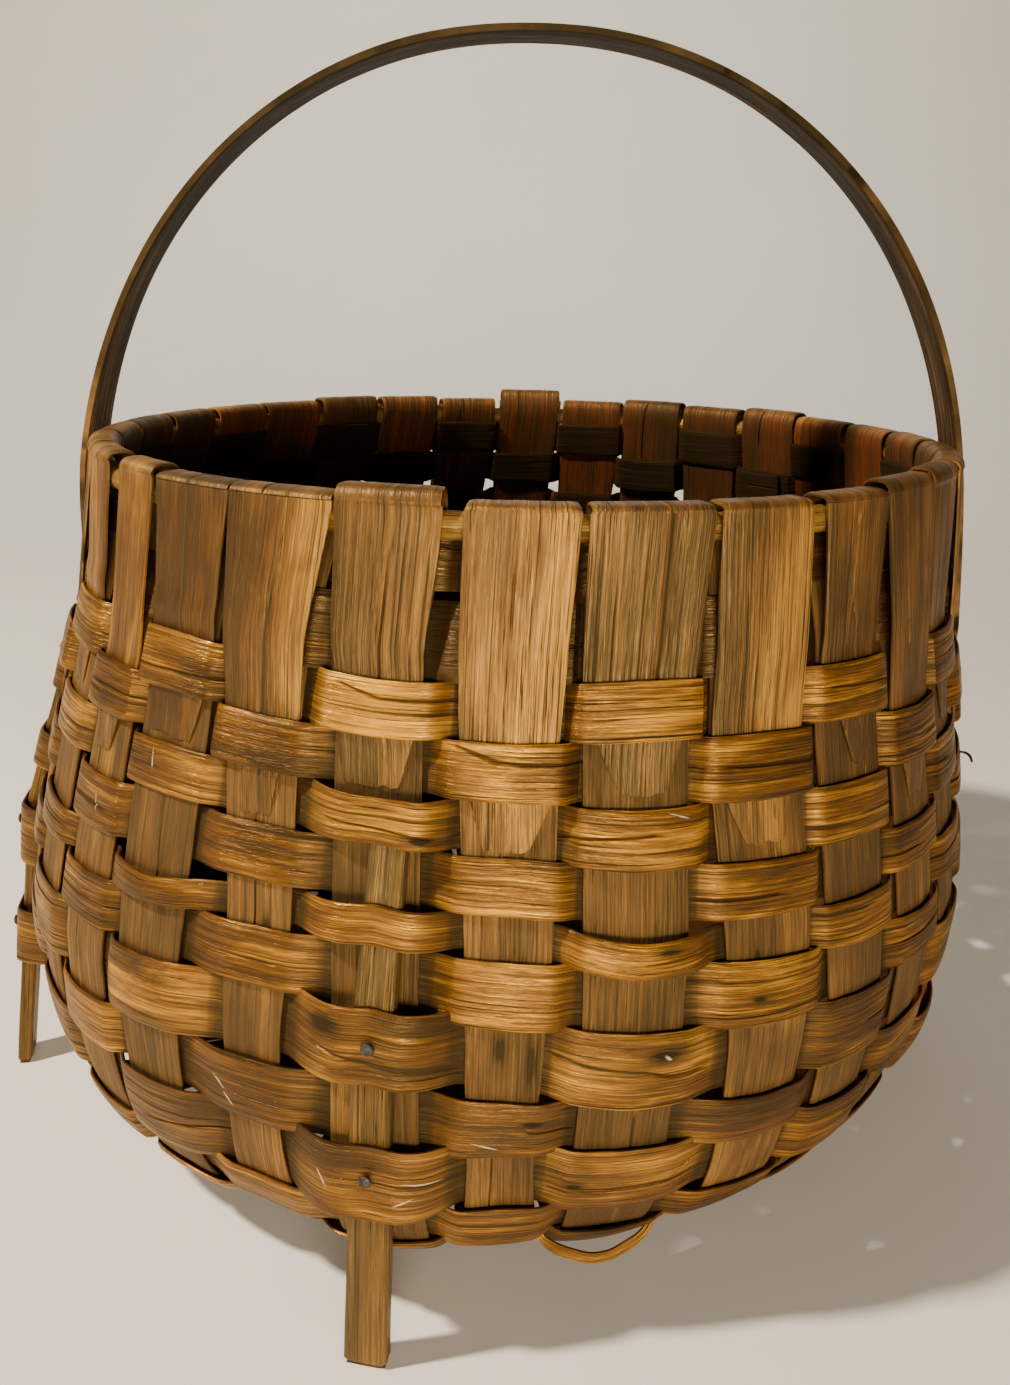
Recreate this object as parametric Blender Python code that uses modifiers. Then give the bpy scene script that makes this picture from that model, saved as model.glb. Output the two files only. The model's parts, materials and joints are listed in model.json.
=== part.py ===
"""Round splint basket on four stick legs, with a bent hoop handle.

Fifteen flat splints cross under the base, turn up the sides as thirty stakes, fold over a
round rim rod and tuck back under the weave. Closed rings of splint are woven round them.
Metres, +Z up, standing on z = 0. Depths are measured down from the middle of the rim rod.
"""

import math

import bmesh
import bpy
from mathutils import Matrix, Vector

# Splint stock and the clearance between pieces that touch
SPLINT_THICKNESS = 0.0012
GAP = 0.0003
EDGE_CLEAR = 0.0010

# Body, measured to the middle of the stakes' thickness
RIM_HEIGHT = 0.234
RIM_RADIUS = 0.1433
ROD_DIAMETER = 0.0075
BELLY_RADIUS = 0.170
BELLY_DEPTH = 0.138
BASE_RADIUS = 0.130
BASE_DEPTH = 0.216
SHOULDER_POWER = 1.18
HEEL_POWER = 2.7
LEAN = -0.052
TWIST = math.radians(21.3)

# Stakes
QUARTER_SPLINT_COUNTS = (7, 8)
FIRST_STAKE = math.radians(-1.67)
RIM_WIDTH = 0.0255
HEEL_WIDTH = 0.0205
BASE_WIDTH = 0.019
BASE_PITCH = 0.022
TONGUE_TIP_WIDTH = 0.009
TONGUE_TAIL = 0.0125

# Weaver rows from the rim down
ROW_WIDTHS = (
    0.0140, 0.0130, 0.0150, 0.0155, 0.0150, 0.0130, 0.0135,
    0.0140, 0.0210, 0.0160, 0.0220, 0.0150, 0.0140,
)
ROW_GAP = 0.0011
FIRST_ROW_DEPTH = 0.0055
COLLAR_GAP = 0.0055
COLLAR_ROW_COUNT = 2

# Handle: half an ellipse whose ends run down behind the weave
HANDLE_STAKE = 7
HANDLE_WIDTH = 0.0195
HANDLE_END_WIDTH = 0.015
HANDLE_THICKNESS = 0.0030
HANDLE_RISE = 0.135
HANDLE_CENTRE_DEPTH = 0.017
HANDLE_REACH = 0.1578
HANDLE_SHIFT = -0.0045
HANDLE_TILT = 0.05
HANDLE_COVER_ROWS = (5, 6)
HANDLE_END_COVER = 0.002
HANDLE_EDGE_BEVEL = 0.0006

# Legs: name, stake, first row that covers the leg, swing of its top and of its foot round
# the basket, splay
LEGS = (
    ("front", -1, 5, math.radians(1.7), 0.0, 0.02),
    ("left", -7, 5, 0.0, math.radians(3.5), 0.07),
    ("right", 8, 6, 0.0, 0.0, 0.02),
    ("back", 14, 6, 0.0, 0.0, 0.02),
)
LAST_LEG_ROW = 11
LEG_WIDTH = 0.0125
LEG_TOP_WIDTH = 0.0095
LEG_THICKNESS = 0.0055
LEG_TOP_THICKNESS = 0.0035
LEG_STAND_OFF = 0.0006
LEG_TOP_COVER = 0.003
LEG_EDGE_BEVEL = 0.0010
FOOT_CHAMFER = 0.0025

# Nails through weaver and leg
NAIL_HEAD_RADIUS = 0.0019
NAIL_HEAD_HEIGHT = 0.0007
NAIL_SHANK_RADIUS = 0.0007
NAIL_TIP_COVER = 0.0010

STAKES = 2 * sum(QUARTER_SPLINT_COUNTS)
STAKE_STEP = 2 * math.pi / STAKES
LAYER = SPLINT_THICKNESS + GAP
ROD_RADIUS = ROD_DIAMETER / 2
FOLD_RADIUS = ROD_RADIUS + GAP + SPLINT_THICKNESS / 2
RIM_STAKE_RADIUS = RIM_RADIUS - FOLD_RADIUS
ROW_COUNT = len(ROW_WIDTHS)
PROFILE_STEPS = 160
FOLD_STEPS = 4

ASH = (0.46, 0.24, 0.09, 1.0)
ASH_DARK = (0.36, 0.18, 0.07, 1.0)
PEELED_ROD = (0.55, 0.34, 0.12, 1.0)
HICKORY = (0.27, 0.13, 0.05, 1.0)
STICK = (0.44, 0.25, 0.09, 1.0)
IRON = (0.10, 0.09, 0.08, 1.0)


def mix(a, b, share):
    """The value this share of the way from a to b."""
    return a + (b - a) * share


def profile_points():
    """The stakes' curve as (radius, depth), from the rim to the edge of the flat base."""
    points = []
    for step in range(PROFILE_STEPS):
        depth = BELLY_DEPTH * step / PROFILE_STEPS
        rise = (1 - depth / BELLY_DEPTH) ** SHOULDER_POWER
        points.append((BELLY_RADIUS - (BELLY_RADIUS - RIM_STAKE_RADIUS) * rise, depth))
    for step in range(PROFILE_STEPS + 1):
        angle = 0.5 * math.pi * step / PROFILE_STEPS
        out = max(math.cos(angle), 0.0) ** (2 / HEEL_POWER)
        down = math.sin(angle) ** (2 / HEEL_POWER)
        radius = mix(BASE_RADIUS, BELLY_RADIUS, out)
        points.append((radius, mix(BELLY_DEPTH, BASE_DEPTH, down)))
    return points


def arc_lengths(points):
    """Running length along the points."""
    lengths = [0.0]
    for (r0, d0), (r1, d1) in zip(points, points[1:]):
        lengths.append(lengths[-1] + math.hypot(r1 - r0, d1 - d0))
    return lengths


def look_up(value, keys, points):
    """Linear interpolation of (radius, depth) pairs at a key."""
    for index in range(1, len(keys)):
        if value <= keys[index] or index == len(keys) - 1:
            share = (value - keys[index - 1]) / (keys[index] - keys[index - 1])
            (r0, d0), (r1, d1) = points[index - 1], points[index]
            return mix(r0, r1, share), mix(d0, d1, share)
    return points[-1]


CURVE = profile_points()
CURVE_LENGTHS = arc_lengths(CURVE)
HEEL_ARC = CURVE_LENGTHS[-1]
BELLY_ARC = CURVE_LENGTHS[PROFILE_STEPS]


def row_cells():
    """Top and bottom of each row along the stakes, with half a gap at each side."""
    cells = []
    top = FIRST_ROW_DEPTH - ROW_GAP / 2
    for row, width in enumerate(ROW_WIDTHS):
        if row == COLLAR_ROW_COUNT:
            top += COLLAR_GAP
        cells.append((top, top + width + ROW_GAP))
        top = cells[-1][1]
    return cells


CELLS = row_cells()


def bend_arcs():
    """Where the stakes bend: every second row above the belly, every row below it."""
    bends = [0.0]
    for number, (_, bottom) in enumerate(CELLS, start=1):
        if number % 2 == 0 or bottom > BELLY_ARC:
            bends.append(bottom)
    bends.append(mix(bends[-1], HEEL_ARC, 0.5))
    bends.append(HEEL_ARC)
    return bends


BENDS = bend_arcs()
BEND_POINTS = [look_up(arc, CURVE_LENGTHS, CURVE) for arc in BENDS]


def stake_point(arc):
    """(radius, depth) of the stakes' middle at an arc length from the rim."""
    return look_up(arc, BENDS, BEND_POINTS)


def stake_normal(arc):
    """Outward (radius, depth) normal of the straight stretch that holds this arc."""
    index = 1
    while index < len(BENDS) - 1 and arc > BENDS[index]:
        index += 1
    (r0, d0), (r1, d1) = BEND_POINTS[index - 1], BEND_POINTS[index]
    length = math.hypot(r1 - r0, d1 - d0)
    return (d1 - d0) / length, -(r1 - r0) / length


def arc_at_depth(depth):
    """Arc length along the stakes at a depth."""
    for index in range(1, len(BENDS)):
        if depth <= BEND_POINTS[index][1] or index == len(BENDS) - 1:
            d0, d1 = BEND_POINTS[index - 1][1], BEND_POINTS[index][1]
            return mix(BENDS[index - 1], BENDS[index], (depth - d0) / (d1 - d0))
    return HEEL_ARC


def stake_width(arc):
    """Stakes narrow slowly from the rim to the heel."""
    return mix(RIM_WIDTH, HEEL_WIDTH, (arc / HEEL_ARC) ** 2)


def azimuth(stake, depth):
    """Angle of a stake round the basket: 0 is the front, +90 degrees is +X."""
    return FIRST_STAKE + stake * STAKE_STEP + TWIST * depth


def leaned(point):
    """The old basket sags to one side, so everything below the rim is sheared a little."""
    depth = RIM_HEIGHT - point.z
    return Vector((point.x + LEAN * max(depth, 0.0), point.y, point.z))


def around(angle, radius, side, depth):
    """Point at a radius in a stake's plane, this far to its side, before the lean."""
    out = Vector((math.sin(angle), -math.cos(angle), 0))
    along = Vector((math.cos(angle), math.sin(angle), 0))
    return out * radius + along * side + Vector((0, 0, RIM_HEIGHT - depth))


def is_over(row, stake):
    """Rows are numbered from 1: odd rows pass outside odd stakes, even rows outside even ones."""
    return (row - stake) % 2 == 0


def tongue_row(stake):
    """The row that a folded stake's tongue is tucked under."""
    first = COLLAR_ROW_COUNT + 1
    return first if is_over(first, stake) else first + 1


def leg_bend_depth():
    """A leg turns down at the top of the row that goes round the belly."""
    holder = next(top for top, bottom in CELLS if bottom > BELLY_ARC)
    return stake_point(holder)[1]


def leg_top_depth(first_row):
    """A leg starts just below the top edge of the first row that covers it."""
    return stake_point(CELLS[first_row - 1][0] + LEG_TOP_COVER)[1]


def handle_on(stake):
    """Whether an end of the handle runs down this stake."""
    return (stake - HANDLE_STAKE) % (STAKES // 2) == 0


def handle_cover_row(stake):
    """The row that covers the handle's end on this stake."""
    return next(row for row in HANDLE_COVER_ROWS if is_over(row, stake))


def leg_section(leg, depth):
    """A leg at a depth: its angle, its inner and outer radius and its width."""
    _, stake, first_row, top_swing, foot_swing, splay = leg
    top = leg_top_depth(first_row)
    down = (depth - top) / (RIM_HEIGHT - top)
    angle = mix(azimuth(stake, top) + top_swing, azimuth(stake, BASE_DEPTH) + foot_swing, down)
    clear = SPLINT_THICKNESS / 2 + GAP + LEG_STAND_OFF
    belly_face = BELLY_RADIUS + clear
    top_face = stake_point(arc_at_depth(top))[0] + clear
    bend = leg_bend_depth()
    if depth < bend:
        share = (depth - top) / (bend - top)
        inner = mix(top_face, belly_face, share)
        thickness = mix(LEG_TOP_THICKNESS, LEG_THICKNESS, share)
    else:
        inner = belly_face + splay * (depth - bend)
        thickness = LEG_THICKNESS
    return angle, inner, inner + thickness, mix(LEG_TOP_WIDTH, LEG_WIDTH, down)


def leg_under(row, stake):
    """The leg that this row passes over at this stake, if any."""
    for leg in LEGS:
        if (leg[1] - stake) % STAKES == 0 and leg[2] <= row <= LAST_LEG_ROW and is_over(row, stake):
            return leg
    return None


def new_material(name, colour, roughness, metallic=0.0):
    """A Principled material of its own for a piece."""
    material = bpy.data.materials.new(name)
    material.use_nodes = True
    shader = material.node_tree.nodes["Principled BSDF"]
    shader.inputs["Base Color"].default_value = colour
    shader.inputs["Roughness"].default_value = roughness
    shader.inputs["Metallic"].default_value = metallic
    return material


def add_object(name, mesh, colour, roughness, collection, metallic=0.0):
    """Link a mesh as a named piece with its own material."""
    piece = bpy.data.objects.new(name, mesh)
    mesh.materials.append(new_material(name, colour, roughness, metallic))
    collection.objects.link(piece)
    return piece


def strip_mesh(name, edges, closed):
    """An open ribbon between pairs of edge points, joined end to end when closed."""
    shape = bmesh.new()
    rails = [[shape.verts.new(leaned(point)) for point in pair] for pair in edges]
    pairs = list(zip(rails, rails[1:]))
    if closed:
        pairs.append((rails[-1], rails[0]))
    for (a, b), (c, d) in pairs:
        shape.faces.new((a, b, d, c))
    bmesh.ops.recalc_face_normals(shape, faces=shape.faces)
    mesh = bpy.data.meshes.new(name)
    shape.to_mesh(mesh)
    shape.free()
    return mesh


def add_ribbon(name, edges, closed, thickness, colour, collection):
    """A flat splint: a ribbon with a Solidify modifier, half its thickness to each side."""
    piece = add_object(name, strip_mesh(name, edges, closed), colour, 0.4, collection)
    solid = piece.modifiers.new("Thickness", "SOLIDIFY")
    solid.thickness = thickness
    solid.offset = 0
    solid.use_even_offset = True
    return piece


def weaver_edges(row):
    """Edge points of one ring, two sections at each stake."""
    top, bottom = CELLS[row - 1]
    middle = (top + bottom) / 2
    arcs = (top + ROW_GAP / 2, bottom - ROW_GAP / 2)
    normal = stake_normal(middle)
    middle_depth = stake_point(middle)[1]
    edges = []
    for stake in range(STAKES):
        angle = azimuth(stake, middle_depth)
        half = stake_width(middle) / 2 + EDGE_CLEAR
        sides = (-half, half)
        offset = LAYER if is_over(row, stake) else -LAYER
        if row == tongue_row(stake):
            offset += LAYER
        if handle_on(stake) and row == handle_cover_row(stake):
            offset += HANDLE_THICKNESS + GAP
        leg = leg_under(row, stake)
        if leg:
            leg_angle, _, outer, width = leg_section(leg, middle_depth)
            swing = outer * math.sin(leg_angle - angle)
            half = width / 2 + 1.5 * EDGE_CLEAR
            sides = (min(swing, 0.0) - half, max(swing, 0.0) + half)
        for side in sides:
            pair = []
            for arc in arcs:
                radius, depth = stake_point(arc)
                if leg:
                    radius = leg_section(leg, depth)[2] + LAYER - SPLINT_THICKNESS / 2
                else:
                    radius += offset * normal[0]
                    depth += offset * normal[1]
                pair.append(around(angle, radius, side, depth))
            edges.append(pair)
    return edges


def base_indices(kind):
    """Sideways numbers of the splints of one set, centred on 0."""
    count = QUARTER_SPLINT_COUNTS[kind]
    return [number - (count - 1) / 2 for number in range(count)]


def base_place(kind, along, across, lift):
    """Point on the base: set 0 runs front to back, set 1 from side to side."""
    turn = azimuth(0, BASE_DEPTH)
    x, y = (across, along) if kind == 0 else (along, across)
    out = Vector((math.sin(turn), -math.cos(turn), 0))
    right = Vector((math.cos(turn), math.sin(turn), 0))
    return right * x - out * y + Vector((0, 0, RIM_HEIGHT - BASE_DEPTH + lift))


def base_pairs(kind, index):
    """Edge points across the base: parallel splints with a flat stretch at each crossing."""
    pairs = []
    across = BASE_PITCH * index
    for other in base_indices(1 - kind):
        above = (round(index * 2) + round(other * 2) + 1) % 4 == 0
        lift = (0.5 if above else -0.5) * LAYER * (1 - 2 * kind)
        for end in (-1, 1):
            along = BASE_PITCH * other + end * (BASE_WIDTH / 2 + GAP)
            edges = (across - BASE_WIDTH / 2, across + BASE_WIDTH / 2)
            pairs.append([base_place(kind, along, edge, lift) for edge in edges])
    return pairs


def side_pairs(stake):
    """Edge points of one stake from the tip of its tongue over the rim and down to the heel."""
    pairs = []

    def add(arc, offset, width):
        radius, depth = stake_point(arc)
        normal = stake_normal(arc)
        angle = azimuth(stake, depth)
        place = (radius + offset * normal[0], depth + offset * normal[1])
        pairs.append([around(angle, place[0], side * width / 2, place[1]) for side in (-1, 1)])

    tucked_bottom = CELLS[tongue_row(stake) - 1][1]
    tail = TONGUE_TAIL / 2 if handle_on(stake) else TONGUE_TAIL
    add(tucked_bottom + tail, LAYER, TONGUE_TIP_WIDTH)
    add(tucked_bottom, LAYER, RIM_WIDTH)
    add(CELLS[COLLAR_ROW_COUNT][0], LAYER, RIM_WIDTH)
    add(CELLS[COLLAR_ROW_COUNT - 1][1], 2 * LAYER, RIM_WIDTH)
    angle = azimuth(stake, 0.0)
    for step in range(FOLD_STEPS + 1):
        turn = math.pi * step / FOLD_STEPS
        radius = RIM_RADIUS + FOLD_RADIUS * math.cos(turn)
        depth = -FOLD_RADIUS * math.sin(turn)
        pairs.append([around(angle, radius, side * RIM_WIDTH / 2, depth) for side in (-1, 1)])
    for arc in BENDS[1:]:
        add(arc, 0.0, stake_width(arc))
    return pairs


def uncrossed(pairs, before):
    """The pairs, each turned round if the first lies crosswise to the pair before it."""
    straight = (pairs[0][0] - before[0]).length + (pairs[0][1] - before[1]).length
    crosswise = (pairs[0][1] - before[0]).length + (pairs[0][0] - before[1]).length
    return [pair[::-1] for pair in pairs] if crosswise < straight else pairs


def splint_edges(kind, index):
    """One whole splint: tongue, stake, base, stake, tongue."""
    if kind == 0:
        ends = (index, STAKES / 2 - index)
    else:
        ends = (3 * STAKES / 4 - index, STAKES / 4 + index)
    first = side_pairs(round(ends[0]))
    last = side_pairs(round(ends[1]))
    base = uncrossed(base_pairs(kind, index), first[-1])
    return first + base + uncrossed(last[::-1], base[-1])


def handle_end(stake):
    """Edge points of one end of the hoop, from its tip up to the last row it passes outside."""
    cover = handle_cover_row(stake)
    top, bottom = CELLS[cover - 1]
    passed = 2 * LAYER if cover - 2 == tongue_row(stake) else LAYER
    behind = (LAYER + GAP + HANDLE_THICKNESS) / 2
    stations = (
        (bottom - HANDLE_END_COVER, behind, HANDLE_END_WIDTH),
        (top, behind, HANDLE_WIDTH),
        (CELLS[cover - 3][1], behind + passed, HANDLE_WIDTH),
    )
    pairs = []
    for arc, offset, width in stations:
        radius, depth = stake_point(arc)
        normal = stake_normal(arc)
        angle = azimuth(stake, depth)
        place = (radius + offset * normal[0], depth + offset * normal[1])
        pairs.append([around(angle, place[0], side * width / 2, place[1]) for side in (-1, 1)])
    return pairs


def handle_edges():
    """Edge points of the hoop from one end to the other: half an ellipse between two ends."""
    reach = HANDLE_REACH - HANDLE_THICKNESS / 2
    height = HANDLE_RISE + HANDLE_CENTRE_DEPTH - HANDLE_THICKNESS / 2
    angle = azimuth(HANDLE_STAKE, HANDLE_CENTRE_DEPTH)
    out = Vector((math.sin(angle), -math.cos(angle), 0))
    wide = Vector((math.cos(angle), math.sin(angle), 0)) * HANDLE_WIDTH / 2
    edges = handle_end(HANDLE_STAKE)
    steps = 24
    for step in range(steps + 1):
        turn = math.pi * step / steps
        up = height * math.sin(turn) - HANDLE_CENTRE_DEPTH
        tilt = HANDLE_TILT * max(up, 0.0)
        middle = out * reach * math.cos(turn) + Vector((HANDLE_SHIFT, tilt, RIM_HEIGHT + up))
        edges.append([middle - wide, middle + wide])
    far_end = handle_end(HANDLE_STAKE - STAKES // 2)
    return edges + [pair[::-1] for pair in far_end[::-1]]


def add_handle(collection):
    """The bent hoop, a ribbon with its edges taken off."""
    handle = add_ribbon("handle", handle_edges(), False, HANDLE_THICKNESS, HICKORY, collection)
    add_bevel(handle, HANDLE_EDGE_BEVEL)
    return handle


def add_bevel(piece, width):
    """One flat cut along the sharp edges."""
    bevel = piece.modifiers.new("Edges", "BEVEL")
    bevel.width = width
    bevel.segments = 1
    bevel.limit_method = "ANGLE"
    bevel.angle_limit = math.radians(40)


def add_rod(collection):
    """The rim rod, straight under each fold and bent between them."""
    bpy.ops.mesh.primitive_torus_add(
        major_radius=RIM_RADIUS / math.cos(STAKE_STEP / 2),
        minor_radius=ROD_RADIUS,
        major_segments=STAKES,
        minor_segments=2 * FOLD_STEPS,
        location=(0, 0, RIM_HEIGHT),
        rotation=(0, 0, FIRST_STAKE + STAKE_STEP / 2 - math.pi / 2),
    )
    rod = bpy.context.object
    rod.name = "rim_rod"
    rod.data.name = "rim_rod"
    rod.data.materials.append(new_material("rim_rod", PEELED_ROD, 0.35))
    for holder in list(rod.users_collection):
        holder.objects.unlink(rod)
    collection.objects.link(rod)
    rod.data.shade_smooth()
    return rod


def leg_corners(leg, depth, inset):
    """Four corners of a leg's section, drawn in by the inset."""
    angle, inner, outer, width = leg_section(leg, depth)
    half = width / 2 - inset
    corners = ((inner + inset, -half), (outer - inset, -half), (outer - inset, half), (inner + inset, half))
    return [leaned(around(angle, radius, side, depth)) for radius, side in corners]


def add_leg(leg, collection):
    """A whittled stick: a loft between unlike sections, bevelled, with a chamfered foot."""
    shape = bmesh.new()
    top = leg_top_depth(leg[2])
    stations = [(top, 0.0), (leg_bend_depth(), 0.0), (RIM_HEIGHT - FOOT_CHAMFER, 0.0)]
    stations.append((RIM_HEIGHT, FOOT_CHAMFER * 0.4))
    rings = []
    for depth, inset in stations:
        rings.append([shape.verts.new(corner) for corner in leg_corners(leg, depth, inset)])
    for above, below in zip(rings, rings[1:]):
        for side in range(4):
            following = (side + 1) % 4
            shape.faces.new((above[side], above[following], below[following], below[side]))
    shape.faces.new(rings[0])
    shape.faces.new(rings[-1])
    bmesh.ops.recalc_face_normals(shape, faces=shape.faces)
    mesh = bpy.data.meshes.new("leg_" + leg[0])
    shape.to_mesh(mesh)
    shape.free()
    piece = add_object("leg_" + leg[0], mesh, STICK, 0.5, collection)
    add_bevel(piece, LEG_EDGE_BEVEL)
    return piece


def nail_rows(leg):
    """The rows that cover a leg from the belly down, which its nails go through."""
    covering = [row for row in range(leg[2], LAST_LEG_ROW + 1) if is_over(row, leg[1])]
    return [row for row in covering if CELLS[row - 1][1] > BELLY_ARC]


def nail_profile(head_face, length):
    """(radius, height) down the outer side of a nail whose head sits at head_face."""
    return (
        (0.0, head_face + NAIL_HEAD_HEIGHT),
        (NAIL_HEAD_RADIUS * 0.7, head_face + NAIL_HEAD_HEIGHT),
        (NAIL_HEAD_RADIUS, head_face),
        (NAIL_SHANK_RADIUS, head_face),
        (NAIL_SHANK_RADIUS, head_face - length * 0.75),
        (0.0, head_face - length),
    )


def turned_mesh(name, profile, steps):
    """A profile in the XZ plane turned round Z by a Screw modifier, made into a mesh."""
    shape = bmesh.new()
    verts = [shape.verts.new((radius, 0, height)) for radius, height in profile]
    for above, below in zip(verts, verts[1:]):
        shape.edges.new((above, below))
    mesh = bpy.data.meshes.new(name)
    shape.to_mesh(mesh)
    shape.free()
    piece = bpy.data.objects.new(name, mesh)
    screw = piece.modifiers.new("Turn", "SCREW")
    screw.steps = steps
    screw.render_steps = steps
    screw.use_merge_vertices = True
    screw.merge_threshold = 0.00001
    return piece


def cut(piece, cutter):
    """Take the cutter out of a piece."""
    hole = piece.modifiers.new("Hole", "BOOLEAN")
    hole.operation = "DIFFERENCE"
    hole.object = cutter


def add_nail(leg, row, weaver, stick, parts, cutters):
    """A round-headed nail from outside the weaver into the leg, with its hole in both."""
    top, bottom = CELLS[row - 1]
    depth = stake_point((top + bottom) / 2)[1]
    angle, inner, outer, _ = leg_section(leg, depth)
    face = outer + LAYER + GAP + 2 * NAIL_HEAD_RADIUS * leg[5]
    name = f"nail_{leg[0]}_{row:02d}"
    length = face - inner - NAIL_TIP_COVER
    nail = turned_mesh(name, nail_profile(face, length), 8)
    parts.objects.link(nail)
    nail.data.materials.append(new_material(name, IRON, 0.5, 0.9))
    hole_radius = NAIL_SHANK_RADIUS + GAP
    clear = LEG_STAND_OFF / 2
    hole = ((0.0, face + clear), (hole_radius, face + clear), (hole_radius, inner - clear), (0.0, inner - clear))
    cutter = turned_mesh(name + "_hole", hole, 8)
    cutters.objects.link(cutter)
    cutter.hide_render = True
    cutter.display_type = "WIRE"
    place = leaned(around(angle, 0.0, 0.0, depth))
    outward = Vector((math.sin(angle), -math.cos(angle), 0))
    turn = outward.to_track_quat("Z", "Y").to_matrix().to_4x4()
    for piece in (nail, cutter):
        piece.matrix_world = Matrix.Translation(place) @ turn
    cut(weaver, cutter)
    cut(stick, cutter)


def centre_on_origin(pieces, movers):
    """Move everything sideways so that the basket's box is centred over the origin."""
    bpy.context.view_layer.update()
    graph = bpy.context.evaluated_depsgraph_get()
    lows, highs = [], []
    for piece in pieces:
        corners = [piece.matrix_world @ Vector(c) for c in piece.evaluated_get(graph).bound_box]
        lows.append([min(c[axis] for c in corners) for axis in range(2)])
        highs.append([max(c[axis] for c in corners) for axis in range(2)])
    for axis in range(2):
        middle = (min(low[axis] for low in lows) + max(high[axis] for high in highs)) / 2
        for mover in movers:
            mover.location[axis] -= middle


def main():
    """Build the basket in a scene of its own."""
    for old in list(bpy.data.objects):
        bpy.data.objects.remove(old, do_unlink=True)
    parts = bpy.data.collections.new("splint_basket")
    cutters = bpy.data.collections.new("cutters")
    bpy.context.scene.collection.children.link(parts)
    bpy.context.scene.collection.children.link(cutters)
    for kind, label in enumerate(("long", "cross")):
        for number, index in enumerate(base_indices(kind), start=1):
            name = f"splint_{label}_{number}"
            add_ribbon(name, splint_edges(kind, index), False, SPLINT_THICKNESS, ASH, parts)
    weavers = {}
    for row in range(1, ROW_COUNT + 1):
        name = f"weaver_{row:02d}"
        weavers[row] = add_ribbon(name, weaver_edges(row), True, SPLINT_THICKNESS, ASH_DARK, parts)
    add_rod(parts)
    add_handle(parts)
    for leg in LEGS:
        stick = add_leg(leg, parts)
        for row in nail_rows(leg):
            add_nail(leg, row, weavers[row], stick, parts, cutters)
    pieces = list(parts.objects)
    centre_on_origin(pieces, pieces + list(cutters.objects))


main()
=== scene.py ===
"""Looks of the round splint basket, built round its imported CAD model. Metres, +Z up.

Wall places are given as an angle round the basket, an arc length down the wall from the
rim and an offset out from the middle of the stakes, all as in the CAD source.
"""

import json
import math
from collections import namedtuple

import bpy
import numpy as np
from mathutils import Matrix, Vector

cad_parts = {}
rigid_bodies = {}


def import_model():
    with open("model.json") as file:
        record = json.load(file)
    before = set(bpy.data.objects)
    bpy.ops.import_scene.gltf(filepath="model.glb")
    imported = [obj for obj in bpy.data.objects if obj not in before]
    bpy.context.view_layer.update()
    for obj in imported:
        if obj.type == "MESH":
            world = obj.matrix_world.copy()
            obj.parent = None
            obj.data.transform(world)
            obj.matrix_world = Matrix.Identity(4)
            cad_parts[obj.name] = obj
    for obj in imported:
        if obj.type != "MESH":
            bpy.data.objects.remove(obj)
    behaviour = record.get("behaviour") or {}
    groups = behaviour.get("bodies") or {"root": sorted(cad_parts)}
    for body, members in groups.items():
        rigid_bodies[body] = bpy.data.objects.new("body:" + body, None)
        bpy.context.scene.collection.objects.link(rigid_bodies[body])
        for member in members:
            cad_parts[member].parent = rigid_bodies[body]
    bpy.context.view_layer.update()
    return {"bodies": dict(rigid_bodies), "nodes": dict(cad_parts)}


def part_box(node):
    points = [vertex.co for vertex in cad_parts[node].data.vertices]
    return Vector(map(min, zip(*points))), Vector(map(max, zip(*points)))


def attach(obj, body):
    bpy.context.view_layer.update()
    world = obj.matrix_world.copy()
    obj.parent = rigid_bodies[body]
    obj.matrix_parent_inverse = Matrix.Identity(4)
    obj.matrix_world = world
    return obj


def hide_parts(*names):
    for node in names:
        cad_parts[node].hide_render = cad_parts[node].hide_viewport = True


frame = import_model()
BODY = next(iter(frame["bodies"]))
RIM = np.mean(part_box("rim_rod"), axis=0)
MM = 0.001
TURN = 2 * math.pi

# Wall and stock, as in the CAD source
THICK = 0.0012
GAP = 0.0003
LAYER = THICK + GAP
RIM_RADIUS = 0.1433
ROD_RADIUS = 0.00375
BELLY_RADIUS, BELLY_DEPTH = 0.170, 0.138
BASE_RADIUS, BASE_DEPTH = 0.130, 0.216
SHOULDER_POWER, HEEL_POWER = 1.18, 2.7
LEAN = -0.052
TWIST = math.radians(21.3)
FIRST_STAKE = math.radians(-1.67)
STAKES = 30
STEP = TURN / STAKES
FOLD_RADIUS = ROD_RADIUS + GAP + THICK / 2
BASE_PITCH = 0.022
BASE_COUNTS = (7, 8)
ROW_WIDTHS = (14, 13, 15, 15.5, 15, 13, 13.5, 14, 21, 16, 22, 15, 14)
ROW_GAP = 0.0011
FIRST_ROW = 0.0055
COLLAR_GAP = 0.0055
HANDLE_STAKE = 7
HANDLE_THICK = 0.0028
HANDLE_WIDTH = 0.0206
Leg = namedtuple("Leg", "name stake first_row top_swing foot_swing splay")
LEGS = (
    Leg("front", -1, 5, math.radians(1.7), 0.0, 0.02),
    Leg("left", -7, 5, 0.0, math.radians(3.5), 0.07),
    Leg("right", 8, 6, 0.0, 0.0, 0.02),
    Leg("back", 14, 6, 0.0, 0.0, 0.02),
)
LAST_LEG_ROW = 11
LEG_CLEAR = THICK / 2 + GAP + 0.0006
LEG_INSET = 0.003
LEG_THICK, LEG_THICKER = 0.0035, 0.002
LEG_WIDTH, LEG_WIDER = 0.0095, 0.003
NAIL_PLACE = 0.42

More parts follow.
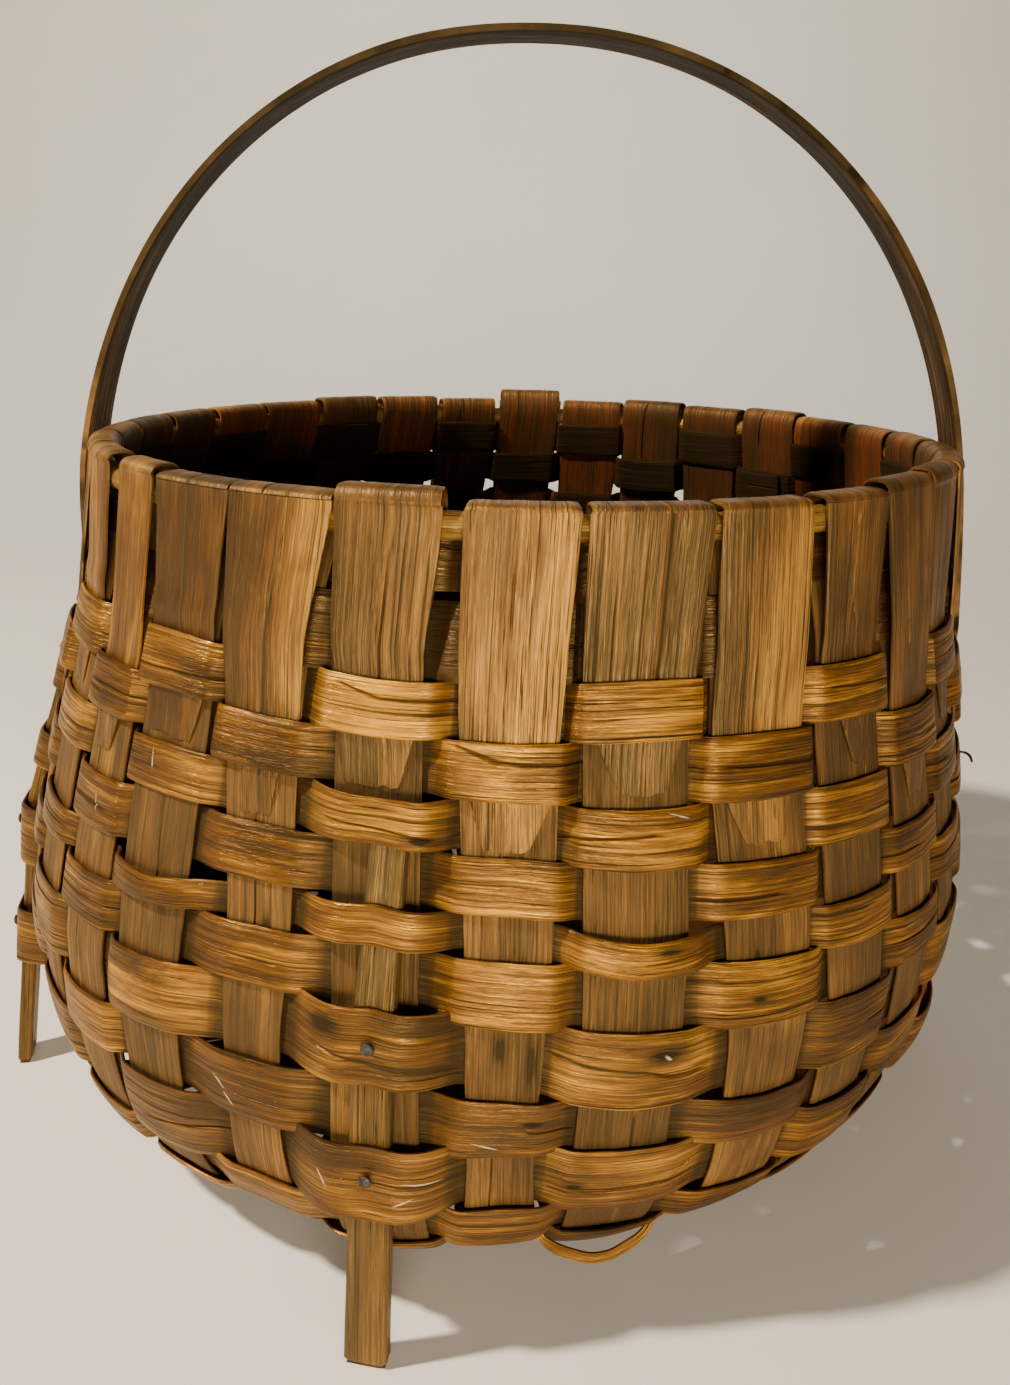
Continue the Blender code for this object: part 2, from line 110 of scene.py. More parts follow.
# Only in the looks: widths in the base, shape of the folds, pull of the legs, mesh steps
HEEL_WIDTH, BASE_WIDTH = 0.0240, 0.0208
RIM_WIDTH = 0.0255
ABOVE_RIM = 0.01
FOLD_POWER = 0.62
LEG_PULL, PULL_ANGLE = 0.006, 0.17
PULL_START, PULL_RISE, PULL_END, PULL_FALL = 0.13, 0.05, 0.2, 0.015
DARK_START, DARK_REACH = 0.13, 0.07
ROD_SINK = 0.0025
STEP_ALONG = 0.0020
COLUMN_PITCH = 0.0018
GROOVE = 0.00022
LAP_STAKES = 3
CRACK_FADE = 0.012
TUCK_REACH, BEND_CLEAR = 0.010, 0.003
SIDE_CLEAR, LEG_SIDE_CLEAR = 0.0007, 0.0015
WIDEN = 0.0003
# Painted shade and dirt on the stakes' runs behind the weave and on the base: duller, greyer wood
COVERED_SHADE_AND_DIRT = 0.75


def smooth(x):
    """Smoothstep from 0 to 1."""
    x = np.clip(x, 0, 1)
    return x * x * (3 - 2 * x)


def hashed(i, j, seed):
    """A fixed number from 0 to 1 for each pair of whole numbers."""
    n = (i * 73856093) ^ (j * 19349663) ^ (seed * 83492791)
    n = (n ^ (n >> 13)) * 1274126177 & 0x7FFFFFFF
    n = (n ^ (n >> 15)) * 668265263 & 0x7FFFFFFF
    return (n ^ (n >> 12)) % 1000003 / 1000003


def noise(x, y, seed):
    """Smooth noise from -1 to 1, with features about 1 across."""
    x, y = np.broadcast_arrays(np.asarray(x, float), np.asarray(y, float))
    i, j = np.floor(x).astype(np.int64), np.floor(y).astype(np.int64)
    u, v = smooth(x - i), smooth(y - j)
    a, b = hashed(i, j, seed), hashed(i + 1, j, seed)
    c, d = hashed(i, j + 1, seed), hashed(i + 1, j + 1, seed)
    return 2 * ((a * (1 - u) + b * u) * (1 - v) + (c * (1 - u) + d * u) * v) - 1


def stacked(*parts):
    """Numbers or grids as the last axis of one array."""
    return np.stack(np.broadcast_arrays(*parts), -1)


def lengths_along(points):
    """Running length of a line of points."""
    return np.r_[0, np.cumsum(np.linalg.norm(np.diff(points, axis=0), axis=1))]


def unit(vectors):
    return vectors / np.linalg.norm(vectors, axis=-1, keepdims=True)


def wall_profile():
    """Arc length, radius and depth of the stakes' curve, drawn on straight above the rim."""
    steps = 300
    t = np.linspace(0, 1, steps, endpoint=False)
    rim = RIM_RADIUS - FOLD_RADIUS
    radius = BELLY_RADIUS - (BELLY_RADIUS - rim) * (1 - t) ** SHOULDER_POWER
    angle = np.linspace(0, math.pi / 2, steps)
    out = np.clip(np.cos(angle), 0, 1) ** (2 / HEEL_POWER)
    down = np.sin(angle) ** (2 / HEEL_POWER)
    radius = np.r_[radius, BASE_RADIUS + (BELLY_RADIUS - BASE_RADIUS) * out]
    depth = np.r_[BELLY_DEPTH * t, BELLY_DEPTH + (BASE_DEPTH - BELLY_DEPTH) * down]
    arc = np.r_[0, np.cumsum(np.hypot(np.diff(radius), np.diff(depth)))]
    slope = np.array([radius[1] - radius[0], depth[1] - depth[0]]) / arc[1]
    return tuple(np.r_[first - ABOVE_RIM * rate, line] for first, rate, line in
                 ((0, 1, arc), (radius[0], slope[0], radius), (0, slope[1], depth)))


ARC, RADIUS, DEPTH = wall_profile()
HEEL_ARC = ARC[-1]
BELLY_ARC = np.interp(BELLY_DEPTH, DEPTH, ARC)


def radius_at(arc):
    return np.interp(arc, ARC, RADIUS)


def depth_at(arc):
    return np.interp(arc, ARC, DEPTH)


def normal_at(arc):
    """Outward (radius, depth) normal of the wall, smoothed over a few millimetres."""
    low, high = np.clip(arc - 0.004, -ABOVE_RIM, HEEL_ARC), np.clip(arc + 0.004, 0, HEEL_ARC)
    dr, dd = radius_at(high) - radius_at(low), depth_at(high) - depth_at(low)
    length = np.hypot(dr, dd)
    return dd / length, -dr / length


def placed(angle, radius, depth):
    """World points from an angle, a radius and a depth below the rim, with the basket's lean."""
    x = radius * np.sin(angle) + LEAN * np.maximum(depth, 0)
    return stacked(RIM[0] + x, RIM[1] - radius * np.cos(angle), RIM[2] - depth)


def even_azimuth(stake, depth):
    """Angle of a stake at a depth before its own shifts."""
    return FIRST_STAKE + stake * STEP + TWIST * depth


def pulled(angle, depth):
    """How far the nailed legs pull the wall out below the belly."""
    out = 0
    for leg in LEGS:
        away = ((angle - even_azimuth(leg.stake, depth) + math.pi) % TURN - math.pi) / PULL_ANGLE
        out = out + np.exp(-away ** 2)
    rise, fall = (depth - PULL_START) / PULL_RISE, (depth - PULL_END) / PULL_FALL
    return LEG_PULL * out * smooth(rise) * (1 - smooth(fall))


def off_wall(angle, arc, offset):
    """Radius and depth of places off the wall."""
    out, down = normal_at(arc)
    depth = depth_at(arc) + offset * down
    return radius_at(arc) + offset * out + pulled(angle, depth), depth


def on_wall(angle, arc, offset):
    """World points off the wall."""
    return placed(angle, *off_wall(angle, arc, offset))


def row_cells():
    """Top and bottom arc length of each row's share of the wall."""
    cells, top = [], FIRST_ROW - ROW_GAP / 2
    for row, width in enumerate(ROW_WIDTHS):
        top += COLLAR_GAP if row == 2 else 0
        cells.append((top, top + width * MM + ROW_GAP))
        top = cells[-1][1]
    return cells


CELLS = row_cells()

# What the photograph shows of single stakes, in millimetres: sideways shift and width at
# these arc lengths down the wall
STAKE_ARCS = (0, 35, 62, 110, 165)
STAKE_LOOKS = {
    -5: ((1, 0, 0, 0, 0), (26, 25, 25, 25, 24.5)),
    -4: ((5, 4, 1, 0, 0), (19, 18, 21, 24, 24)),
    -3: ((1, -2, -1.4, -2.5, -2), (28.5, 26, 27, 27, 24)),
    -2: ((1, -3, -2, 2, 1), (29.5, 24.5, 23, 20, 17)),
    -1: ((0, -2.6, -0.5, 1, 1.8), (26.5, 24.6, 23, 23.5, 24.5)),
    0: ((2.5, 1, 0.4, 0.9, -1), (27, 26.4, 24.5, 22, 17.5)),
    1: ((3.8, 2.2, 0.6, 0, -3), (30, 29.5, 28, 28.8, 26.5)),
    2: ((4, 3.8, 2.2, 4.5, 3), (26, 27.5, 28, 28, 24)),
    3: ((4, 5, 3.8, 3, 2), (24, 22.5, 26, 25, 23)),
    4: ((-1, 2, 2, 2, 1), (25, 24, 24, 24, 22)),
    5: ((-5, -2, 0, 0, 0), (24, 23, 24, 24, 22)),
}
# Height of each loop above the rod's usual cover, in millimetres
LOOP_LIFTS = {
    -5: 0.8, -4: 0.6, -3: -0.9, -2: -0.8, -1: 1.6, 0: -1.5, 1: -1.5, 2: -1.4, 3: -1.0, 4: 1.0,
    5: 2.0, 11: 1.8, 12: 0.6, 13: 1.6, 14: 0.2, -15: 4.5, -14: 0.2, -13: 1.2, -12: 1.6,
}
# Shift down the wall of the top and bottom edges of rows at stakes, in millimetres
ROW_SHIFTS = {
    2: {-3: (0, 5), -1: (1.5, 8.5), 1: (1.5, 8), 3: (0, 7)},
    3: {-5: (0, 0), -3: (-1.2, -0.7), -1: (2.2, 1.0), 1: (1.0, 1.0), 3: (2.7, 2.9), 5: (4, 5)},
    4: {-4: (-3, -3.8), -2: (-0.6, -2.8), 0: (0.3, -0.8), 2: (1, 2.7), 4: (5.5, 5.2)},
    5: {-3: (-3.4, -4.6), -1: (-2.4, -6.2), 1: (1, 1.4), 3: (4, 4), 5: (6, 7)},
    6: {-4: (-2, 0.5), -2: (-5.0, -3.6), 0: (-3, -1.4), 2: (3.5, 5.3), 4: (8, 8)},
    7: {-5: (2, 0), -3: (3.4, -3), -1: (-5.8, -9.4), 1: (4.2, -0.2), 3: (7.4, 6.4), 5: (7, 7)},
    8: {-4: (-1, -1), -2: (-6.6, -5), 0: (-5, -2), 2: (1.5, 6), 4: (8, 8)},
    9: {-5: (0, 0), -3: (-2.8, -3.4), -1: (-9.2, -9.8), 1: (0.6, 1.4), 3: (7, 8), 5: (8, 8)},
    10: {-4: (0, 0), -2: (-6.4, -4), 0: (-3.2, -3.2), 2: (6.5, 4.5), 4: (8, 8)},
    11: {-5: (0, 0), -3: (-2, 0), -1: (-9, -9), 1: (-1.6, -2), 3: (5, 4), 5: (6, 6)},
    12: {-4: (0, 0), -2: (-6, -9), 0: (-7.4, -2.6), 2: (3, 3), 4: (6, 5)},
    13: {-2: (-4, -5), 0: (-9, -2), 2: (0, 2)},
}
# Stand-off of single bulged over-pieces, in millimetres
BULGES = {
    (5, 1): 0.8, (7, -3): 1.6, (7, -1): 1.0, (7, 1): 3.2, (9, -3): 0.8, (9, -1): 0.6, (11, 5): 2.2,
}
# Tongues that show: width at the row's lower edge and at the tip, shift of each, length
TONGUES = {
    -4: (13, 7, -1, -2, 12), -3: (22, 16, 0.5, -0.5, 13.5), -2: (12, 9.5, 0.5, -1.5, 13),
    -1: (21.5, 15, -1, -2, 13.6), 0: (21, 12, 0.5, -0.5, 13.4), 1: (22, 12, 0.3, 1.6, 14.4),
    2: (20, 12, -1, 0.5, 13), 3: (12, 5.5, 1.5, 3.5, 14), 4: (15, 8, 1, 1, 12),
}
# Cracks in rows: stake, then millimetres along from its middle, place across and half width
CRACKS = {
    3: [(-1, [(-16, -0.7, 0.1), (-5, -0.34, 0.25), (15, -0.38, 0.15)]),
        (3, [(-12, -0.2, 0.15), (10, -0.1, 0.15)])],
    4: [(0, [(-17, -0.85, 0.15), (-7, -0.4, 0.3), (2, -0.3, 0.2), (19, -0.35, 0.1)]),
        (2, [(-16, -0.1, 0.15), (14, 0, 0.2)])],
    5: [(-1, [(-16, 0.2, 0.1), (12, 0.5, 0.2)])],
    9: [(-1, [(-13, 0.05, 0.15), (-3, 0.32, 0.35), (4, 0.42, 0.6), (19, 0.47, 0.8), (24, 0.5, 0.2)]),
        (1, [(-23, -0.26, 0.2), (-10, -0.12, 0.35), (3, -0.07, 0.3), (10, 0.1, 0.2), (22, 0.15, 0.2)])],
    11: [(1, [(-20, 0.3, 0.1), (14, 0.2, 0.2)])],
    12: [(0, [(-20, 0.2, 0.15), (12, 0.4, 0.3)])],
}
# Cracks in tongues: millimetres up from the tip, place across and half width
STAKE_CRACKS = {
    -2: [[(16, 0.1, 0.15), (30, 0.05, 0.45), (52, 0.1, 0.35), (60, 0.15, 0.1)]],
    1: [[(24, 0.25, 0.1), (42, 0.3, 0.35), (58, 0.3, 0.4), (74, 0.3, 0.3)]],
    3: [[(12, 0.2, 0.3), (40, 0.1, 0.15)]],
}
# Rise of the tone from a stake's middle to its right edge
TONE_TILTS = {-2: 0.7, -1: 0.25, 0: 0.45, 1: -0.2, 2: 0.5, -3: 0.3}
# Knots: row, stake, millimetres along from the stake's middle, place across, length and width
ROW_KNOTS = (
    (9, 1, 8, -0.5, 10, 4.4), (9, -1, -12, -0.5, 9, 5), (7, 1, 7, -0.35, 6, 1.4),
    (11, 1, -13, 0.1, 4.5, 2.0), (4, 0, 16, 0.3, 4.5, 1.2), (5, -1, 12, 0.5, 5, 1.6),
    (10, 0, 8, -0.3, 6, 2.0), (8, 2, -5, 0.2, 5, 1.6),
)
# Pale scratches: as knots, and their slant in degrees
SCRATCHES = (
    (10, -2, -10, 0.05, 6, 0.5, 38), (10, -2, -6.5, 0.6, 4.5, 0.5, 45), (11, -1, -13, 0.0, 6, 0.5, 60),
    (11, -1, 12, -0.15, 8, 0.45, 4), (11, -1, 8, 0.35, 5, 0.45, -30), (10, 0, -4, 0.55, 6, 0.4, 15),
    (5, -3, -4, -0.2, 6, 0.45, 80), (6, -4, 2, 0.0, 7, 0.4, 75), (5, 1, 10, -0.8, 6, 0.4, 20),
    (9, 1, 9, -0.42, 2.4, 1.0, 30), (12, -4, 0, 0.1, 5, 0.5, 50),
)
# Knots: stake, millimetres down the wall, place across, length and width
STAKE_KNOTS = (
    (-2, 6, -0.05, 5, 2.6), (0, 138, -0.1, 9, 4.0), (0, 142, 0.72, 15, 3.6), (1, 6, -0.36, 4.5, 2.2),
    (-1, 135, 0.1, 6, 2.2), (2, 120, -0.3, 6, 2.0), (-2, 112, 0.3, 6, 2.0), (-4, 4, 0.5, 4, 2.0),
)
# Tone of single stakes and of single over-pieces, from -1 for brown to 1 for gold. Over-pieces at the
# front of the belly, (3, -1), (3, 1) and (4, 0), are raised above their wood's tone as painted highlight
STAKE_TONES = {
    -4: 0.1, -3: -0.45, -2: -0.2, -1: -0.45, 0: 0.25, 1: -0.45, 2: 0.05, 3: -0.4, 4: -0.4, 5: -0.4,
}
TONES_AND_HIGHLIGHTS = {
    (3, -1): 1.6, (3, 1): 1.0, (3, -3): 0.15, (3, 3): 0.1, (4, -2): -0.2, (4, 0): 0.7, (4, 2): 0.1,
    (4, -4): -0.4, (5, -1): 0.25, (5, 1): -0.05, (5, -3): -0.1, (5, 3): 0.1, (6, -2): 0.0, (6, 0): 0.35,
    (6, 2): 0.0, (7, -1): 0.1, (7, 1): 0.7, (8, -2): -0.1, (8, 0): 0.5, (8, 2): 0.2, (9, -1): -0.3,
    (9, 1): 0.35, (9, -3): -0.2, (10, -2): -0.4, (10, 0): -0.8, (10, 2): -0.5, (11, -1): -0.15,
    (11, 1): 0.55, (11, -3): -0.4, (12, 0): 0.0, (5, 5): -0.3, (7, 5): -0.3, (9, 3): -0.1, (8, -4): -0.4,
}

def shown(stake):
    """A stake's number from -15 to 14, 0 at the front, as the tables above name it."""
    return (stake + STAKES // 2) % STAKES - STAKES // 2


def stake_look(stake):
    """Sideways shifts and widths of a stake, in metres, at STAKE_ARCS."""
    number = np.arange(len(STAKE_ARCS))
    width = 27 + 1.6 * noise(stake * 1.7 + number * 9.1, 0.5, 3) - (0, 1, 1.4, 2.4, 4)
    shift = 1.3 * noise(stake * 2.3, number * 0.6, 4)
    return np.array(STAKE_LOOKS.get(shown(stake), (shift, width))) * MM


LOOKS = [stake_look(stake) for stake in range(STAKES)]
LOOK_ARCS = np.array(STAKE_ARCS) * MM


def azimuth(stake, arc):
    """Angle of a stake's middle round the basket at an arc length."""
    shift = np.interp(arc, LOOK_ARCS, LOOKS[stake % STAKES][0])
    return even_azimuth(stake, depth_at(arc)) + shift / radius_at(arc)


def stake_width(stake, arc):
    """Width of a stake at an arc length, narrowing to the heel below the last one read."""
    width = np.interp(arc, LOOK_ARCS, LOOKS[stake % STAKES][1])
    return width + (HEEL_WIDTH - width) * smooth((arc - LOOK_ARCS[-1]) / (HEEL_ARC - LOOK_ARCS[-1]))


def is_over(row, stake):
    return (row - stake) % 2 == 0


def tongue_row(stake):
    return 3 if is_over(3, stake) else 4


def handle_on(stake):
    return (stake - HANDLE_STAKE) % (STAKES // 2) == 0


def handle_cover_row(stake):
    return 5 if is_over(5, stake) else 6


def leg_at(row, stake):
    """The leg that a row passes over at a stake, if any."""
    if row > LAST_LEG_ROW or not is_over(row, stake):
        return None
    return next((leg for leg in LEGS if (leg.stake - stake) % STAKES == 0 and leg.first_row <= row), None)


def row_edges(row, stake):
    """Top and bottom arc length of a row at a stake, with the photograph's shifts."""
    number = shown(stake)
    unseen = smooth((abs(number) - 5) / 3)
    shifts = ROW_SHIFTS.get(row, {})
    keys = sorted(shifts)
    edges = []
    for side, (cell, inward) in enumerate(zip(CELLS[row - 1], (1, -1))):
        edge = cell + inward * ROW_GAP / 2
        edge += unseen * (0.9 * float(noise(stake * 1.3, row, 51 + side)) - 0.3 * inward) * MM
        if keys:
            values = [0] + [shifts[key][side] for key in keys] + [0]
            edge += np.interp(number, [keys[0] - 4] + keys + [keys[-1] + 5], values) * MM
        edges.append(edge)
    return edges


# Meshes

def linked(name, data):
    made = bpy.data.objects.new(name, data)
    bpy.context.scene.collection.objects.link(made)
    return made


def finished(name, mesh, attributes):
    """The piece of a mesh, with its point attributes."""
    for key, values in attributes.items():
        spots = mesh.attributes.new(key, "FLOAT_VECTOR", "POINT").data
        spots.foreach_set("vector", np.asarray(values, np.float32).ravel())
    return linked("look_" + name, mesh)


def large_piece(name, verts, faces, attributes):
    """A smooth shaded piece from arrays of points and of quads."""
    mesh = bpy.data.meshes.new(name)
    mesh.vertices.add(len(verts))
    mesh.vertices.foreach_set("co", np.asarray(verts, np.float32).ravel())
    mesh.loops.add(faces.size)
    mesh.loops.foreach_set("vertex_index", faces.astype(np.int32).ravel())
    mesh.polygons.add(len(faces))
    mesh.polygons.foreach_set("loop_start", np.arange(0, faces.size, 4, dtype=np.int32))
    mesh.update(calc_edges=True)
    mesh.validate()
    mesh.shade_smooth()
    mesh.set_sharp_from_angle(angle=math.radians(42))
    return finished(name, mesh, attributes)


def small_piece(name, rings, caps, attributes):
    """A piece from rings of points, with flat caps given as a ring and its way round."""
    count, steps = rings.shape[:2]
    spot = np.arange(count * steps).reshape(count, steps)
    faces = ring_faces(count, steps)[:-1].reshape(-1, 4).tolist()
    faces += [spot[ring, ::way].tolist() for ring, way in caps]
    mesh = bpy.data.meshes.new(name)
    mesh.from_pydata(rings.reshape(-1, 3).tolist(), [], faces)
    mesh.validate()
    return finished(name, mesh, attributes)


def ring_faces(rings, steps):
    """Quads between each ring of points and the next, and from the last to the first."""
    spot = np.arange(rings * steps).reshape(rings, steps)
    after = np.roll(spot, -1, 0)
    return stacked(spot, np.roll(spot, -1, 1), np.roll(after, -1, 1), after)


def solid_from_grid(name, grid, thick, outward, relief, grain, top_shade, under_shade):
    """A closed solid from a grid of points along and across a strip's middle."""
    n, m = grid.shape[:2]
    normal = np.cross(np.gradient(grid, axis=0), np.gradient(grid, axis=1))
    normal /= np.maximum(np.linalg.norm(normal, axis=2, keepdims=True), 1e-12)
    way = 1 if np.sum(normal * outward) > 0 else -1
    half = way * normal * (np.broadcast_to(thick, (n, m)) / 2 + relief)[..., None]
    verts = np.concatenate([(grid + half).reshape(-1, 3), (grid - half).reshape(-1, 3)])
    spot = np.arange(n * m).reshape(n, m)
    up = stacked(spot[:-1, :-1], spot[:-1, 1:], spot[1:, 1:], spot[1:, :-1]).reshape(-1, 4)
    walls = []
    for line, turn in ((spot[:, 0], 1), (spot[:, -1], -1), (spot[0], -1), (spot[-1], 1)):
        walls.append(stacked(line[:-1], line[1:], line[1:] + n * m, line[:-1] + n * m)[:, ::turn])
    faces = np.concatenate([up, up[:, ::-1] + n * m] + walls)[:, ::-way]
    grain, top_shade, under_shade = (np.broadcast_to(values, grid.shape).reshape(-1, 3)
                                     for values in (grain, top_shade, under_shade))
    return large_piece(name, verts, faces, {"grain": np.concatenate([grain, grain]),
                                            "shade": np.concatenate([top_shade, under_shade])})


def columns(width, pitch=COLUMN_PITCH):
    """Places across a splint from -1 to 1, close together at its edges and at a groove."""
    count = 2 * max(int(round(width / pitch / 2)), 3)
    fine = 2 * GROOVE / width
    inner = np.linspace(-1, 1, count + 1)[1:-1]
    inner = inner[np.abs(inner) > 4 * fine]
    edge = 0.3 * MM / width
    close = np.r_[1 - 4 * edge, 1 - 1.3 * edge, 1]
    return np.sort(np.r_[-close, inner, close, -3 * fine, -fine, fine, 3 * fine])


def edge_profile(v, worn=0.45, share=0.08):
    """Thickness across a strip, less at its worn edges."""
    return worn + (1 - worn) * smooth((1 - np.abs(v)) / share)


def grooved(along, width, seed, cracks):
    """Columns led along a crack: their places across and the crack's darkness.

    A crack is a list of (along, place from -1 to 1, half width) that it passes through.
    """
    v = columns(width)
    fine = 2 * GROOVE / width
    path = 0.55 * noise(along / 0.07, 0.5, seed + 20)
    wide = 0.16 * MM * smooth((noise(along / 0.03, 1.5, seed + 21) - 0.15) / 0.25)
    for crack in cracks:
        place, spot, half = np.array(crack).T
        near = (smooth((along - place[0] + CRACK_FADE) / CRACK_FADE)
                * smooth((place[-1] + CRACK_FADE - along) / CRACK_FADE))
        path = path * (1 - near) + np.interp(along, place, spot) * near
        wide = wide * (1 - near) + np.interp(along, place, half, left=0, right=0) * near
    path, wide = path[:, None], wide[:, None]
    beside = np.where(v < 0, -1 + (v + 1) * (path + 1), 1 - (1 - v) * (1 - path))
    spread = np.where(np.abs(v) < 3.5 * fine, path + v * np.maximum(wide / GROOVE, 0.6), beside)
    dark = np.where(np.abs(v) < 2 * fine, smooth(wide / (0.1 * MM)), 0)
    return np.maximum.accumulate(spread, axis=1), dark


def splint_relief(along, across, seed):
    """Fine ridges of the wood on both faces of a splint."""
    wide = noise(along / 0.05, across / 0.0045, seed)
    fine = noise(along / 0.022, across / 0.0016, seed + 7)
    return (0.08 * wide + 0.05 * fine) * MM


def edge_wander(along, seed):
    """How far an edge strays from its line."""
    return (0.55 * noise(along / 0.055, 0, seed) + 0.22 * noise(along / 0.012, 0, seed + 1)
            + 0.08 * noise(along / 0.0035, 0, seed + 2)) * MM


# Knots and scratches found while the strips are built, placed in the wood's own grain
Mark = namedtuple("Mark", "along across seed length width slant scratch")
MARKS = []

# What a weaver does at a stake: angles and half angle, edges, stand-off, bow and tone
Crossing = namedtuple("Crossing", "angle half top bottom offset bow tone on_leg leg_angle leg")


def crossing(row, stake, start):
    """How the strip of a row that starts at one stake passes another."""
    top, bottom = row_edges(row, stake)
    middle = (top + bottom) / 2
    angle, half = azimuth(stake, middle), stake_width(stake, middle) / 2 + SIDE_CLEAR
    over, leg = is_over(row, stake), leg_at(row, stake)
    first, again = stake < start + LAP_STAKES, stake >= start + STAKES
    offset = LAYER * (1 + again) if over else -LAYER * (1 + first)
    if row == tongue_row(stake):
        offset += LAYER
    if handle_on(stake) and row == handle_cover_row(stake):
        offset += HANDLE_THICK + GAP
    leg_angle = angle
    if leg:
        leg_angle, _, _, width = leg_section(leg, depth_at(middle))
        leg_angle = angle + (leg_angle - angle + math.pi) % TURN - math.pi
        half = width / 2 + LEG_SIDE_CLEAR + abs(leg_angle - angle) / 2 * radius_at(middle)
        angle = (angle + leg_angle) / 2
    bow = (0.7 + 0.5 * noise(stake * 3.1, row, 8)) * MM if over and not leg else 0
    bow += BULGES.get((row, shown(stake)), 0) * MM
    # Tones listed per over-piece, some raised as painted highlight; others from noise, lower in the top
    # two rows
    tone = TONES_AND_HIGHLIGHTS.get((row, shown(stake)), noise(stake * 1.9, row * 2.3, 5) * 0.6 - (row < 3))
    return Crossing(angle, half / radius_at(middle), top, bottom, offset, bow, tone, leg is not None,
                    leg_angle, leg)


def weaver(row):
    """One strip of the weave, its ends overlapping over three stakes at the back."""
    seed = 100 + 17 * row
    # Each strip starts behind a stake of the back, seldom the same one as its neighbours
    start = 16 + row % 4 if row % 2 else 9 + row // 2 % 3
    start += is_over(row, start)
    passed = [crossing(row, stake, start) for stake in range(start, start + STAKES + LAP_STAKES)]
    measures = np.array([crossed[:8] for crossed in passed], float)
    angles, halves, tops, bottoms, offsets, bows, tones, on_legs = measures.T
    first, last = angles[0] - 0.3 * STEP, angles[-1] + 0.3 * STEP
    theta = np.linspace(first, last, int((last - first) * BELLY_RADIUS / STEP_ALONG))
    corners = stacked(angles - halves, angles + halves).ravel()
    offsets, on_legs = np.repeat(offsets, 2), np.repeat(on_legs, 2)
    index = np.clip(np.searchsorted(corners, theta, side="right") - 1, 0, len(corners) - 2)
    share = np.clip((theta - corners[index]) / (corners[index + 1] - corners[index]), 0, 1)
    on_leg = on_legs[index] * (1 - share) + on_legs[index + 1] * share
    on_leg = 0.6 * on_leg + 0.4 * smooth(on_leg)
    offset = offsets[index] * (1 - smooth(share)) + offsets[index + 1] * smooth(share)
    wave = np.zeros(len(theta))
    for angle, half, bow in zip(angles, halves, bows):
        wave += bow * np.clip(1 - ((theta - angle) / (half * 1.25)) ** 2, 0, None)
    low, high = np.interp(theta, angles, tops), np.interp(theta, angles, bottoms)
    middle, half = (low + high) / 2, ((high - low) / 2 + WIDEN)[:, None]
    radius = radius_at(np.mean(middle))
    around, wave, width = theta * radius, wave[:, None], ROW_WIDTHS[row - 1] * MM
    cracks = []
    for stake, points in CRACKS.get(row, ()):
        place = (azimuth(stake, 0.12) + TURN) * radius
        cracks.append([(place + along * MM, spot, wide * MM) for along, spot, wide in points])
    v, dark = grooved(around, width, seed, cracks)
    blend = (v + 1) / 2
    arc = middle[:, None] + half * v + 0.35 * wave
    arc += edge_wander(around, seed)[:, None] * 0.7 * (1 - blend)
    arc += edge_wander(around, seed + 5)[:, None] * 0.7 * blend
    radial, depth = off_wall(theta[:, None], arc, offset[:, None] + wave * (1 - 0.25 * v ** 2))
    for crossed in passed:
        if crossed.leg:
            here = (on_leg * (np.abs(theta - crossed.leg_angle) < STEP))[:, None]
            face = leg_section(crossed.leg, depth)[2] + LAYER - THICK / 2
            radial = radial + here * np.maximum(face - radial, 0)
    grid = placed(theta[:, None], radial, depth)
    for mark_row, stake, place, spot, length, wide, *slant in ROW_KNOTS + SCRATCHES:
        if mark_row == row:
            centre = (azimuth(stake, np.mean(middle)) + TURN) * radius + place * MM
            MARKS.append(Mark(centre, spot * width / 2, seed, length * MM, wide * MM,
                              math.radians(sum(slant)), bool(slant)))
    across, along = half * v, around[:, None]
    # Painted shade: the strip darkens, nearly to black, where it passes under a stake; its cracks add
    # their own dark
    painted_shade_and_dirt = np.maximum(1 - smooth((offset / LAYER + 1) / 2)[:, None], dark)
    tone = np.interp(theta, angles, tones)[:, None] + 0.3 * noise(along / 0.035, across / 0.011, seed + 9)
    tone = 0.5 + 0.5 * (tone - 0.08 * smooth((depth - DARK_START) / DARK_REACH))
    # The inner face also takes the painted inside shade
    return solid_from_grid(
        f"weaver_{row:02d}", grid, THICK * edge_profile(v), (grid - RIM) * (1, 1, 0),
        splint_relief(along, across, seed) * edge_profile(v) - 0.5 * MM * dark,
        stacked(along, across, seed), stacked(painted_shade_and_dirt, tone, 0), stacked(painted_shade_and_dirt, tone, 1))


def leg_top_arc(leg):
    return CELLS[leg.first_row - 1][0] + LEG_INSET


def leg_section(leg, depth):
    """Angle, inner and outer radius and width of a leg at a depth."""
    top, foot = depth_at(leg_top_arc(leg)), RIM[2]
    bend = depth_at(next(top for top, bottom in CELLS if bottom > BELLY_ARC))
    down = (depth - top) / (foot - top)
    start = even_azimuth(leg.stake, top) + leg.top_swing
    end = even_azimuth(leg.stake, BASE_DEPTH) + leg.foot_swing
    top_face, belly_face = radius_at(leg_top_arc(leg)) + LEG_CLEAR, BELLY_RADIUS + LEG_CLEAR
    share = np.clip((depth - top) / (bend - top), 0, 1)
    inner = top_face + (belly_face - top_face) * share + leg.splay * np.maximum(depth - bend, 0)
    thickness = LEG_THICK + LEG_THICKER * share
    return start + (end - start) * down, inner, inner + thickness, LEG_WIDTH + LEG_WIDER * down


